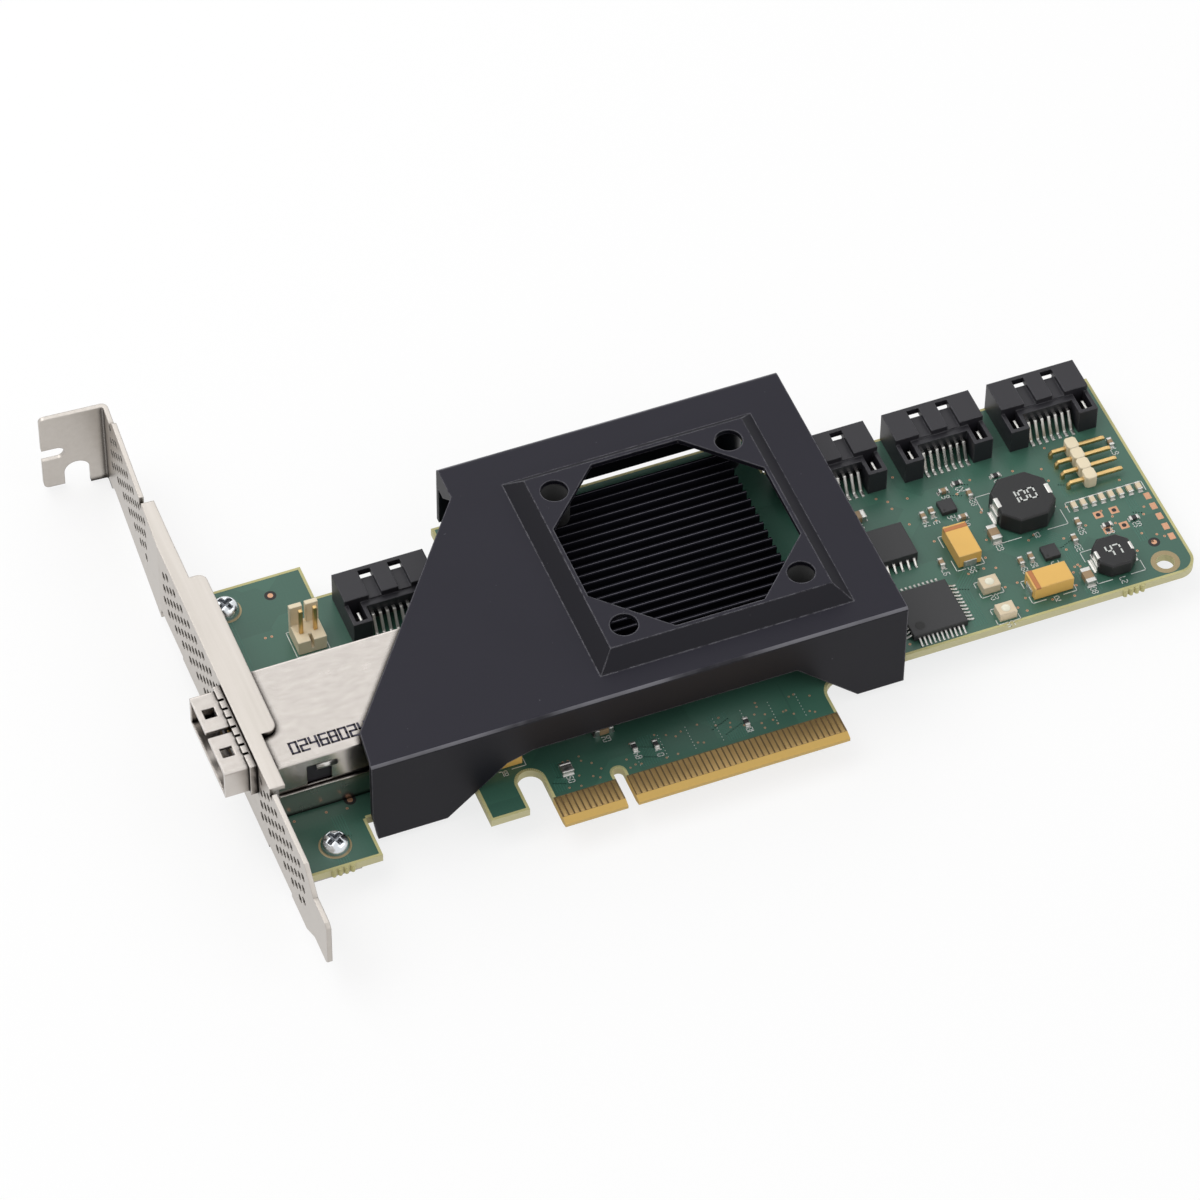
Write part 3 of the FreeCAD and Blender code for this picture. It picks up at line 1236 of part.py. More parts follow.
def make_choke(label, place, size, height, cut):
    """Moulded inductor: eight-sided block with its corners cut and a chamfered rim."""
    x, y = place
    half = size / 2
    corners = [(half, half - cut), (half - cut, half), (cut - half, half), (-half, half - cut),
               (-half, cut - half), (cut - half, -half), (half - cut, -half), (half, cut - half)]
    body = new_body(label)
    block = pad(body, f"{label}_block", "XY", S.choke_stand, height - S.choke_stand,
                [[(x + a, y + b) for a, b in corners]])
    doc.recompute()
    level = height.value
    names = edges_where(block.Shape, lambda a, b: abs(a.z - level) < 1e-4 and abs(b.z - level) < 1e-4)
    rim = body.newObject("PartDesign::Chamfer", f"{label}_rim")
    rim.Base = (block, names)
    bind(rim, "Size", S.choke_stand)
    body.Tip = rim
    return body


def make_choke_tabs(label, place, size, height):
    """Solder tabs that fold up the two sides of an inductor."""
    x, y = place
    half, sheet_metal, width = (size / 2).value, S.choke_tab_sheet.value, S.choke_tab_width.value
    reach, rise = S.choke_tab_reach.value, height.value * S.choke_tab_share.value
    stand = S.choke_stand.value
    shapes = []
    for side in (-1, 1):
        profile = [(half + reach, 0), (half + reach, sheet_metal), (half + sheet_metal, sheet_metal),
                   (half + sheet_metal, rise), (half, rise), (half, stand), (half - reach, stand),
                   (half - reach, 0)]
        points = [(side * a, 0, b) for a, b in profile]
        shapes.append(prism(points, Vector(x.value, y.value - width / 2, 0), Vector(0, width, 0)))
    return solids(label, shapes)


def make_tantalums():
    """Moulded capacitors and the terminals folded under and up their ends."""
    length, width, height = S.tantalum_length, S.tantalum_width, S.tantalum_height
    sheet_metal, tab = S.tantalum_tab_sheet, S.tantalum_tab_width
    bodies, tabs = [], []
    for index, (x, y, upright) in enumerate(TANTALUMS, start=1):
        run, across = (width, length) if upright else (length, width)
        bodies.append(centred_box(f"tantalum_{index}", x, y, sheet_metal, run, across, height - sheet_metal))
        for side in (-1, 1):
            end = length.value / 2
            steel = sheet_metal.value
            rise, tuck = S.tantalum_tab_rise.value, end - S.tantalum_tab_tuck.value
            profile = [(end + steel, 0), (end + steel, rise), (end, rise), (end, steel), (tuck, steel),
                       (tuck, 0)]
            half_tab = tab.value / 2
            if upright:
                points = [(0, side * a, b) for a, b in profile]
                shape = prism(points, Vector(x.value - half_tab, y.value, 0), Vector(tab.value, 0, 0))
            else:
                points = [(side * a, 0, b) for a, b in profile]
                shape = prism(points, Vector(x.value, y.value - half_tab, 0), Vector(0, tab.value, 0))
            tabs.append(shape)
    return group("tantalum_capacitors", bodies), solids("tantalum_terminals", tabs)


# ---------------------------------------------------------------- leaded chips
FLASH_LEADS = 8
LOGIC_LEADS = 11
MEMORY_CHIPS = 3


def gull_leads(centre, half, count, pitch, width, reach, level, sides):
    """Gull-wing leads along the chosen sides of a package."""
    thick, foot = S.lead_thickness.value, S.lead_foot.value
    tip = half + reach
    knee = tip - foot
    profile = [(half, level), (half, level - thick), (knee, 0), (tip, 0), (tip, thick), (knee + thick, thick)]
    shapes = []
    for angle in sides:
        for index in range(count):
            offset = (index - (count - 1) / 2) * pitch
            points = [(a, 0, b) for a, b in profile]
            shape = prism(points, Vector(0, offset - width / 2, 0), Vector(0, width, 0))
            shape.rotate(Vector(0, 0, 0), Vector(0, 0, 1), angle)
            shape.translate(Vector(*centre, 0))
            shapes.append(shape)
    return shapes


def make_flash_chip():
    """Sixteen-lead chip beside the cover, leads along its two long sides."""
    x, y = S.cover_right + S.flash_from_cover + S.flash_length / 2, S.flash_up
    chip = centred_box("flash_chip", x, y, S.lead_stand, S.flash_length, S.flash_width,
                       S.flash_height - S.lead_stand)
    chip.Label = "flash_chip"
    leads = gull_leads((x.value, y.value), S.flash_width.value / 2, FLASH_LEADS, S.flash_lead_pitch.value,
                       S.flash_lead_width.value, S.flash_lead_reach.value, S.flash_height.value / 2,
                       (90, 270))
    return chip, solids("flash_chip_leads", leads)


def make_logic_chip():
    """Quad flat package with eleven leads on each side."""
    x, y = S.cover_right + S.logic_from_cover + S.logic_size / 2, S.logic_up
    chip = centred_box("logic_chip", x, y, S.lead_stand, S.logic_size, S.logic_size,
                       S.logic_height - S.lead_stand)
    chip.Label = "logic_chip"
    leads = gull_leads((x.value, y.value), S.logic_size.value / 2, LOGIC_LEADS, S.logic_lead_pitch.value,
                       S.logic_lead_width.value, S.logic_lead_reach.value, S.logic_height.value / 2,
                       (0, 90, 180, 270))
    return chip, solids("logic_chip_leads", leads)


def make_regulators():
    return group("regulator_chips", [
        centred_box(f"regulator_{k}", BOARD_RIGHT - from_end, Size.of(up), BOARD_TOP, S.regulator_size,
                    S.regulator_size, S.regulator_height)
        for k, (from_end, up) in enumerate(REGULATORS, start=1)])


def make_memory_chips():
    """Cache memory in a column between the port and the heat sink."""
    x = SINK_LEFT - S.memory_width / 2 - S.memory_gap
    items = []
    for index in range(MEMORY_CHIPS):
        y = PLINTH_Y + (index - 1) * S.memory_pitch
        items.append(centred_box(f"memory_{index + 1}", x, y, BOARD_TOP, S.memory_width, S.memory_length,
                                 S.memory_height))
    return group("memory_chips", items)


# ---------------------------------------------------------------- lamps and small parts
STATUS_LAMPS = 8
def make_status_lamps():
    """Row of eight lamps near the far end."""
    start = BOARD_RIGHT - S.status_lamp_from_end
    return group("status_lamps", [
        centred_box(f"status_lamp_{index + 1}", start + index * S.status_lamp_pitch, S.status_lamp_up,
                    BOARD_TOP, S.status_lamp_width, S.status_lamp_length, S.status_lamp_height)
        for index in range(STATUS_LAMPS)])


def make_beacon_lamps():
    return group("beacon_lamps", [
        centred_box(f"beacon_lamp_{k}", BOARD_RIGHT - from_end, Size.of(up), BOARD_TOP, S.beacon_lamp_length,
                    S.beacon_lamp_width, S.beacon_lamp_height)
        for k, (from_end, up) in enumerate(BEACON_LAMPS, start=1)])


def chip_group(label, places, length, width, height, base):
    """Small two-ended parts; a turned part has its length up the board."""
    items = []
    for index, (x, y, is_turned) in enumerate(places, start=1):
        run, across = (width, length) if is_turned else (length, width)
        items.append(centred_box(f"{label}_{index}", Size.of(x), Size.of(y), base, run, across, height))
    return group(label, items)


def from_end(places):
    """Turn distances from the board's far end into places along it."""
    return [(BOARD_RIGHT - distance, up, is_turned) for distance, up, is_turned in places]


def make_small_parts():
    """Chip capacitors and resistors of both faces, and the board fuse."""
    size = (S.chip_part_length, S.chip_part_width)
    small = chip_group("chip_capacitors", from_end(CAPACITORS), *size, S.chip_part_height, BOARD_TOP)
    big_places = from_end(BIG_CAPACITORS) + [(SINK_LEFT - S.memory_gap, S.sink_capacitor_up, False)]
    big = chip_group("ceramic_capacitors", big_places, S.big_chip_part_length, S.big_chip_part_width,
                     S.big_chip_part_height, BOARD_TOP)
    flat = chip_group("chip_resistors", from_end(RESISTORS) + TONGUE_RESISTORS, *size, S.resistor_height,
                      BOARD_TOP)
    pitch = S.underside_pitch
    under = [(S.sink_centre_across + pitch * a, PLINTH_Y + pitch * b, (a + b) % 2 == 0)
             for a in (-2, -1, 0, 1, 2) for b in (-1, 0, 1)]
    below = chip_group("underside_capacitors", under, *size, S.chip_part_height,
                       BOARD_UNDER - S.chip_part_height)
    fuse = centred_box("board_fuse", TONGUE_LEFT + S.fuse_inset, S.fuse_up, BOARD_TOP,
                       S.fuse_size, S.fuse_size, S.fuse_height)
    fuse.Label = "board_fuse"
    return [small, big, flat, below, fuse]


# ---------------------------------------------------------------- the whole card
def make_card():
    nodes = [make_board(), make_edge_contacts(), make_bracket(), make_bracket_screws(),
             make_port_cage(), make_port_gasket(), make_port_base(), make_port_insert(), make_port_contacts()]
    for number, (left, mouth) in enumerate(port_places(), start=1):
        nodes += [make_drive_port(number, left, mouth), make_drive_pins(number, left, mouth),
                  make_drive_clips(number, left, mouth)]
    nodes += [make_cover(), make_small_screws("cover_screws", COVER_POSTS), make_controller(),
              make_thermal_pad(), make_heat_sink(), make_small_screws("heat_sink_screws", SINK_BOSSES)]
    nodes += [*make_fan_header(), make_light_header(), make_light_header_pins()]
    nodes.append(make_choke("power_inductor", CHOKE, S.choke_size, S.choke_height, S.choke_cut))
    nodes.append(make_choke_tabs("power_inductor_tabs", CHOKE, S.choke_size, S.choke_height))
    nodes.append(make_choke("small_inductor", SMALL_CHOKE, S.small_choke_size, S.small_choke_height,
                            S.small_choke_cut))
    nodes.append(make_choke_tabs("small_inductor_tabs", SMALL_CHOKE, S.small_choke_size,
                                 S.small_choke_height))
    nodes += [*make_tantalums(), *make_flash_chip(), *make_logic_chip(), make_regulators(),
              make_memory_chips(), make_status_lamps(), make_beacon_lamps(), *make_small_parts()]
    return nodes


def export(nodes):
    """Check every object of the document, then write one file for each sub-part."""
    doc.recompute()
    for item in doc.Objects:
        if any(flag in ("Invalid", "Error") for flag in item.State):
            raise RuntimeError(f"{item.Name} failed: {item.State}")
    for node in nodes:
        if node.Shape.isNull() or not node.Shape.isValid():
            raise RuntimeError(f"{node.Label} has no valid shape")
    for node in nodes:
        node.Shape.exportStep(f"parts/{node.Label}.step")
        print(f"{node.Label}: {len(node.Shape.Solids)} solids, {node.Shape.Volume:.2f} mm3")


export(make_card())
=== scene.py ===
"""Looks of a raid controller card: finishes, board print, small details, light and camera."""

import json
import logging
import math
from dataclasses import dataclass, field
from enum import Enum

import bpy
import numpy as np
from mathutils import Matrix, Vector


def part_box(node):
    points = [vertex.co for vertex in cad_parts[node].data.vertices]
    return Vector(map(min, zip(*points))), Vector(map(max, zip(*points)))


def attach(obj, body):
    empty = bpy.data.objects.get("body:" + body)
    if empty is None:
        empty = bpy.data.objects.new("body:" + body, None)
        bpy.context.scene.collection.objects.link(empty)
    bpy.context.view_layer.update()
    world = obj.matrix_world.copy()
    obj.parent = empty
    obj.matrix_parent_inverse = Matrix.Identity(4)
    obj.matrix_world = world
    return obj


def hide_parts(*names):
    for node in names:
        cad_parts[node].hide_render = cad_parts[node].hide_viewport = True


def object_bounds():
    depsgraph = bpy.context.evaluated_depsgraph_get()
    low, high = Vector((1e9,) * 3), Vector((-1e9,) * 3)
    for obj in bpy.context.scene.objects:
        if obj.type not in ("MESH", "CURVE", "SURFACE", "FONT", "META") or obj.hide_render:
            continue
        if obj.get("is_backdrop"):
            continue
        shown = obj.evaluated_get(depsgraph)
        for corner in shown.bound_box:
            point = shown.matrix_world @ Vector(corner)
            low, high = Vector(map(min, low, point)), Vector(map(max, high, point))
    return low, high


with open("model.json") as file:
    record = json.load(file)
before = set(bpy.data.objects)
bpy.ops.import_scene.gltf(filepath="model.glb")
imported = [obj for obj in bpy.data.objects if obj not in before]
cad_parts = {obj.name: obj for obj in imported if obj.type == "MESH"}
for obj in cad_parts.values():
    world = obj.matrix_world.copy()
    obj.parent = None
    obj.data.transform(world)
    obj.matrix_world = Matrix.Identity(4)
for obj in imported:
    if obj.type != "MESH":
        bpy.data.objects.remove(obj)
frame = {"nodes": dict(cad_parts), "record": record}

LOG = logging.getLogger("raid_card")
BODY = "root"
MM = 0.001
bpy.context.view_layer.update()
# Name of the point attribute that carries the painted shade mask of the screw recesses.
RECESS_SHADE = "cavity"

Colour = tuple[float, float, float]
Pair = tuple[np.ndarray, np.ndarray]
Sockets = bpy.types.bpy_prop_collection


def dimmed(colour: Colour, share: float) -> Colour:
    """A colour with each channel at a share of its value."""
    return tuple(share * value for value in colour)


# ---------------------------------------------------------------- node helpers
class Socket(Enum):
    """Kinds of socket that a shader group can have."""

    VALUE = "NodeSocketFloat"
    VECTOR = "NodeSocketVector"


class Wiring:
    """A node tree with short calls to add nodes and link them.

    A source is an output socket, a number, or a tuple of numbers.
    """

    def __init__(self, tree: bpy.types.NodeTree) -> None:
        """Keep the tree that the nodes go into."""
        self.tree = tree

    def feed(self, targets: Sockets, sources: dict[int | str, object]) -> None:
        """Link or set several inputs.

        Args:
            targets: A node's inputs.
            sources: Input name or number to its source.
        """
        for key, source in sources.items():
            if isinstance(source, bpy.types.NodeSocket):
                self.tree.links.new(source, targets[key])
            else:
                targets[key].default_value = source

    def add(self, kind: str, sources: dict[int | str, object] | None = None,
            **settings: object) -> Sockets:
        """Add a node.

        Args:
            kind: The node's type name without its ShaderNode prefix.
            sources: Input name or number to its source.
            settings: Attributes set on the node.

        Returns:
            The new node's outputs.
        """
        node = self.tree.nodes.new(f"ShaderNode{kind}")
        for name, value in settings.items():
            setattr(node, name, value)
        self.feed(node.inputs, sources or {})
        return node.outputs

    def maths(self, operation: str, first: object, second: object = 0.0,
              third: object = 0.0, clamp: bool = False) -> bpy.types.NodeSocket:
        """Result of a Math node.

        Args:
            operation: Blender's name of the operation.
            first: First operand.
            second: Second operand.
            third: Third operand.
            clamp: Whether the result is kept from 0 to 1.

        Returns:
            The node's result.
        """
        return self.add("Math", {0: first, 1: second, 2: third},
                        operation=operation, use_clamp=clamp)[0]

    def times(self, first: object, second: object) -> bpy.types.NodeSocket:
        """Product of two sources."""
        return self.maths("MULTIPLY", first, second)

    def noise(self, vector: object, scale: float, detail: float = 3.0,
              roughness: float = 0.5) -> bpy.types.NodeSocket:
        """Noise value from 0 to 1, at a scale in cells per metre."""
        return self.add("TexNoise", {"Vector": vector, "Scale": scale, "Detail": detail,
                                     "Roughness": roughness})["Fac"]

    def ramp(self, value: object, low: float, high: float) -> bpy.types.NodeSocket:
        """Smooth step of a value: low becomes 0 and high becomes 1."""
        return self.add("MapRange", {"Value": value, "From Min": low, "From Max": high},
                        interpolation_type="SMOOTHSTEP")["Result"]

    def mix(self, factor: object, first: object, second: object) -> bpy.types.NodeSocket:
        """Mix of two colours, where the factor is the share of the second."""
        first, second = ((*value, 1.0) if isinstance(value, tuple) else value
                         for value in (first, second))
        return self.add("Mix", {"Factor": factor, 6: first, 7: second}, data_type="RGBA")[2]

    def place(self) -> bpy.types.NodeSocket:
        """Object coordinates, in metres."""
        return self.add("TexCoord")["Object"]

    def split(self, vector: object) -> Sockets:
        """X, Y and Z of a vector."""
        return self.add("SeparateXYZ", {0: vector})

    def facing(self) -> Sockets:
        """X, Y and Z of the surface normal."""
        return self.split(self.add("NewGeometry")["Normal"])

    def group(self, tree: bpy.types.NodeTree, **sources: object) -> Sockets:
        """Outputs of a shader group with its inputs fed."""
        return self.add("Group", sources, node_tree=tree)

    def bump(self, height: object, strength: float, distance: float,
             normal: object = None) -> bpy.types.NodeSocket:
        """Normal bent by a height, over another normal where one is given."""
        sources = {"Height": height, "Strength": strength, "Distance": distance}
        if normal is not None:
            sources["Normal"] = normal
        return self.add("Bump", sources)["Normal"]


class Effects:
    """Shader groups that several finishes share, each built once."""

    def __init__(self) -> None:
        """Build the groups."""
        self.grain = self._make_grain()
        self.rolled = self._make_rolled()
        self.worn_edge = self._make_worn_and_highlit_edge()

    @staticmethod
    def _group(name: str, inputs: dict[str, tuple[Socket, object]],
               outputs: dict[str, Socket]) -> tuple[Wiring, Sockets, Sockets]:
        """Make an empty group with its sockets.

        Args:
            name: Group name.
            inputs: Name to kind and default value.
            outputs: Name to kind.

        Returns:
            The group's wiring, what it is given, and what it gives out.
        """
        tree = bpy.data.node_groups.new(name, "ShaderNodeTree")
        for label, (kind, default) in inputs.items():
            socket = tree.interface.new_socket(label, in_out="INPUT", socket_type=kind.value)
            socket.default_value = default
        for label, kind in outputs.items():
            tree.interface.new_socket(label, in_out="OUTPUT", socket_type=kind.value)
        source, end = (tree.nodes.new(f"NodeGroup{side}") for side in ("Input", "Output"))
        return Wiring(tree), source.outputs, end.inputs

    def _make_grain(self) -> bpy.types.NodeTree:
        """Fine moulded grain: a height and a slow cloudiness, both from 0 to 1."""
        wire, given, made = self._group("moulded_grain", {"Scale": (Socket.VALUE, 1.0)},
                                        {"Height": Socket.VALUE, "Cloud": Socket.VALUE})
        place = wire.add("VectorMath", {0: wire.place(), "Scale": given["Scale"]},
                         operation="SCALE")[0]
        fine, coarse = wire.noise(place, 5200.0, 2.0), wire.noise(place, 2100.0, 2.0)
        wire.feed(made, {"Height": wire.maths("MULTIPLY_ADD", fine, 0.6, wire.times(coarse, 0.4)),
                         "Cloud": wire.noise(place, 60.0, 4.0)})
        return wire.tree

    def _make_rolled(self) -> bpy.types.NodeTree:
        """Rolled sheet: long faint streaks along one direction, with spots of handling."""
        wire, given, made = self._group(
            "rolled_sheet", {"Stretch": (Socket.VECTOR, (1.0, 1.0, 1.0))},
            {"Height": Socket.VALUE, "Streak": Socket.VALUE, "Spots": Socket.VALUE})
        place = wire.place()
        stretched = wire.add("VectorMath", {0: place, 1: given["Stretch"]},
                             operation="MULTIPLY")[0]
        streak = wire.noise(stretched, 900.0, 4.0, 0.6)
        fine = wire.times(wire.noise(place, 3000.0, 2.0), 0.3)
        wire.feed(made, {"Height": wire.maths("MULTIPLY_ADD", streak, 0.7, fine),
                         "Streak": streak,
                         "Spots": wire.ramp(wire.noise(place, 240.0, 5.0, 0.6), 0.55, 0.75)})
        return wire.tree

    def _make_worn_and_highlit_edge(self) -> bpy.types.NodeTree:
        """Mask of the outer edges, for wear and painted highlight: where the bevelled normal leaves
        the true one.
        """
        wire, given, made = self._group("worn_edge", {"Gain": (Socket.VALUE, 3.0)},
                                        {"Mask": Socket.VALUE, "Normal": Socket.VECTOR})
        bevel = wire.add("Bevel", {"Radius": 0.35 * MM}, samples=4)[0]
        alike = wire.add("VectorMath", {0: bevel, 1: wire.add("NewGeometry")["Normal"]},
                         operation="DOT_PRODUCT")["Value"]
        gained = wire.times(wire.maths("SUBTRACT", 1.0, alike), given["Gain"])
        patchy = wire.ramp(wire.noise(wire.place(), 700.0, 4.0, 0.7), 0.3, 0.7)
        wire.feed(made, {"Mask": wire.maths("MULTIPLY", gained, patchy, clamp=True),
                         "Normal": bevel})
        return wire.tree


# ---------------------------------------------------------------- finishes
class Look:
    """A material recipe: build makes the material, and each recipe's paint wires it.

    Attributes:
        name: Material name.
    """

    name: str

    def build(self, effects: Effects) -> bpy.types.Material:
        """Make the material.

        Args:
            effects: The shared shader groups.

        Returns:
            The new material.
        """
        material = bpy.data.materials.new(self.name)
        material.use_nodes = True
        wire = Wiring(material.node_tree)
        wire.feed(material.node_tree.nodes["Principled BSDF"].inputs, self.paint(wire, effects))
        return material

    def paint(self, wire: Wiring, effects: Effects) -> dict[str, object]:
        """Wire the recipe.

        Args:
            wire: The material's wiring.
            effects: The shared shader groups.

        Returns:
            Name of each shader input to its source.
        """
        raise NotImplementedError


@dataclass(frozen=True)
class Finish(Look):
    """A plain dielectric or metal finish with grain and handling marks.

    Attributes:
        colour: Base colour.
        edge_wear_and_highlight: Colour of the wear and painted highlight along the outer edges.
        rough: Roughness.
        metallic: 0 for plastics, 1 for metals.
        grain: Depth of the grain in metres.
        grain_scale: Size factor of the grain.
        vary: How much the cloudiness moves the roughness.
        specular: Specular level.
        edge_gain: Strength of the edge mask.
        coat: Coat weight.
    """

    name: str
    colour: Colour
    edge_wear_and_highlight: Colour
    rough: float = 0.5
    metallic: float = 0.0
    grain: float = 0.01 * MM
    grain_scale: float = 1.0
    vary: float = 0.1
    specular: float = 0.5
    edge_gain: float = 3.0
    coat: float = 0.0

    def paint(self, wire: Wiring, effects: Effects) -> dict[str, object]:
        """A clouded base colour, paler along the edges with wear and painted highlight, over a fine
        grain.
        """
        grain = wire.group(effects.grain, Scale=self.grain_scale)
        edge = wire.group(effects.worn_edge, Gain=self.edge_gain)
        body = wire.mix(grain["Cloud"], dimmed(self.colour, 0.8), self.colour)
        cloud = wire.maths("SUBTRACT", grain["Cloud"], 0.5)
        return {"Base Color": wire.mix(edge["Mask"], body, self.edge_wear_and_highlight),
                "Roughness": wire.maths("MULTIPLY_ADD", cloud, self.vary, self.rough, clamp=True),
                "Normal": wire.bump(grain["Height"], 0.6, self.grain, edge["Normal"]),
                "Metallic": self.metallic, "Specular IOR Level": self.specular,
                "Coat Weight": self.coat}


@dataclass(frozen=True)
class SheetFinish(Look):
    """Plated sheet metal with rolling streaks and spots of handling.

    Attributes:
        colour: Main colour.
        dull: Colour of the duller streaks.
        stretch: Streak direction, small along the streaks.
        rough: Roughness.
        depth: Depth of the streaks in metres.
        hole_shade: Painted shade deep inside punched openings.
        hole_shade_reach: How near the walls of a punched opening stand where the painted shade goes
            on, in metres.
    """

    name: str
    colour: Colour
    dull: Colour
    stretch: tuple[float, float, float]
    rough: float
    depth: float = 0.0015 * MM
    hole_shade: Colour = (0.022, 0.018, 0.015)
    hole_shade_reach: float = 1.3 * MM

    def paint(self, wire: Wiring, effects: Effects) -> dict[str, object]:
        """Streaks and dull spots, with painted shade where walls stand near."""
        rolled = wire.group(effects.rolled, Stretch=self.stretch)
        edge = wire.group(effects.worn_edge)
        streaked = wire.mix(rolled["Streak"], self.dull, self.colour)
        spotted = wire.mix(wire.times(rolled["Spots"], 0.25), streaked, self.dull)
        # Painted shade: ambient occlusion darkens the colour where walls stand near, as inside
        # punched openings.
        painted_hole_shade = wire.add("AmbientOcclusion", {"Distance": self.hole_shade_reach}, samples=8)
        rough = wire.maths("MULTIPLY_ADD", rolled["Streak"], 0.12, self.rough - 0.06)
        return {"Base Color": wire.mix(wire.ramp(painted_hole_shade["AO"], 0.62, 1.0), self.hole_shade, spotted),
                "Roughness": wire.maths("MULTIPLY_ADD", rolled["Spots"], 0.05, rough),
                "Normal": wire.bump(rolled["Height"], 0.5, self.depth, edge["Normal"]),
                "Metallic": 1.0}


@dataclass(frozen=True)
class LaminateFinish(Look):
    """Board: glossy green mask on both faces, pale glass laminate at the cut edges.

    Attributes:
        tongue: Lowest and highest x of the edge contacts.
        mask: Colour of the mask over bare laminate.
        copper_mask: Colour of the mask over copper.
        laminate: Colour of the cut edges.
        plated: Colour of the tongue's bevel and cut edge.
        finger_gap: Colour between the edge contacts.
        finger_top: Height of the bare zone round the contacts, in metres.
        bevel_top: Height of the bevel, in metres.
    """

    tongue: tuple[float, float]
    name: str = "solder_mask_board"
    mask: Colour = (0.041, 0.115, 0.082)
    copper_mask: Colour = (0.055, 0.152, 0.107)
    laminate: Colour = (0.62, 0.58, 0.34)
    plated: Colour = (0.62, 0.4, 0.11)
    finger_gap: Colour = (0.14, 0.085, 0.03)
    finger_top: float = 5.75 * MM
    bevel_top: float = 1.35 * MM

    def paint(self, wire: Wiring, effects: Effects) -> dict[str, object]:
        """Mask with copper pours and cloth below it, bare round the contacts and at the edges."""
        place = wire.place()
        parts = wire.split(place)
        flat = wire.ramp(wire.maths("ABSOLUTE", wire.facing()["Z"]), 0.5, 0.9)
        pours = wire.add("TexVoronoi", {"Scale": 75.0, "Vector": place}, distance="CHEBYCHEV")
        tint = wire.add("SeparateColor", {0: pours["Color"]})
        island = wire.maths("GREATER_THAN", tint[0], 0.5)
        cloth = wire.times(*(wire.add("TexWave", {"Scale": 420.0, "Vector": place},
                                      wave_type="BANDS", bands_direction=axis)["Fac"]
                             for axis in "XY"))
        mask = wire.mix(wire.times(island, 0.45), self.mask, self.copper_mask)
        mask = wire.mix(wire.times(cloth, 0.12), mask, self.copper_mask)
        left, right = self.tongue
        on_tongue = wire.maths("COMPARE", parts["X"], (left + right) / 2,
                               (right - left) / 2 + 0.35 * MM)
        fingers, tip = (wire.times(on_tongue, wire.maths("LESS_THAN", parts["Y"], top))
                        for top in (self.finger_top, self.bevel_top))
        face = wire.mix(tip, wire.mix(fingers, mask, self.finger_gap), self.plated)
        cloud = wire.group(effects.grain)["Cloud"]
        edge = wire.mix(wire.times(cloud, 0.35), wire.mix(fingers, self.laminate, self.plated),
                        dimmed(self.laminate, 0.7))
        masked = wire.maths("SUBTRACT", 1.0, wire.maths("MAXIMUM", fingers, tip))
        relief = wire.maths("MULTIPLY_ADD", island, 0.6, wire.times(cloth, 0.15))
        return {"Base Color": wire.mix(flat, edge, face),
                "Roughness": wire.mix(wire.times(flat, masked), (0.75,) * 3, (0.3,) * 3),
                "Normal": wire.bump(relief, 0.5, 0.02 * MM)}


@dataclass(frozen=True)
class CoverFinish(Look):
    """Dark moulded cover: lighter with dust and painted light on what faces up, painted shade on
    walls and slopes, pale folds and edges from wear and painted highlight.

    Attributes:
        deep: Colour of the walls and slopes, with painted shade.
        dust_and_top_light: Colour of the faces that look up: dust and painted light.
        pale_wear_and_highlight: Colour of the wear and painted highlight along the folds and edges,
            and of the specks.
        crown: Height of the flat top, in metres.
        edge_gain: Strength of the edge mask.
    """

    name: str = "moulded_cover"
    deep: Colour = (0.007, 0.0065, 0.0105)
    dust_and_top_light: Colour = (0.0165, 0.0155, 0.0245)
    pale_wear_and_highlight: Colour = (0.2, 0.198, 0.22)
    crown: float = 14.5 * MM
    edge_gain: float = 16.0

    def paint(self, wire: Wiring, effects: Effects) -> dict[str, object]:
        """Dust and painted light where the normal looks up, then the painted highlight on the fold,
        the specks, and the edges of wear and painted highlight over it.
        """
        grain = wire.group(effects.grain)
        edge = wire.group(effects.worn_edge, Gain=self.edge_gain)
        up, place = wire.facing()["Z"], wire.place()
        # Painted light and shade: faces that look up take the lighter colour, partly dust; walls
        # and slopes keep the darker one.
        body = wire.mix(wire.ramp(up, 0.8, 0.98), self.deep, self.dust_and_top_light)
        body = wire.mix(wire.times(grain["Cloud"], 0.3), body, self.deep)
        # Painted highlight along the band just under the flat top, where the cover bends down.
        on_fold = wire.maths("COMPARE", wire.split(place)["Z"], self.crown - 0.35 * MM, 0.33 * MM)
        fold = wire.times(wire.times(on_fold, wire.maths("COMPARE", up, 0.68, 0.28)),
                          wire.ramp(grain["Cloud"], 0.25, 0.6))
        specks = wire.ramp(wire.noise(place, 1300.0, 2.0), 0.76, 0.8)
        # Painted highlight on the fold, dust specks, and wear with painted highlight on the edges,
        # all in the pale colour.
        for mask, share in ((fold, 0.8), (specks, 0.25), (edge["Mask"], 0.8)):
            body = wire.mix(wire.times(mask, share), body, self.pale_wear_and_highlight)
        return {"Base Color": body,
                "Roughness": wire.maths("MULTIPLY_ADD", grain["Cloud"], 0.12, 0.4),
                "Specular IOR Level": 0.17,
                "Normal": wire.bump(grain["Height"], 0.6, 0.014 * MM, edge["Normal"])}


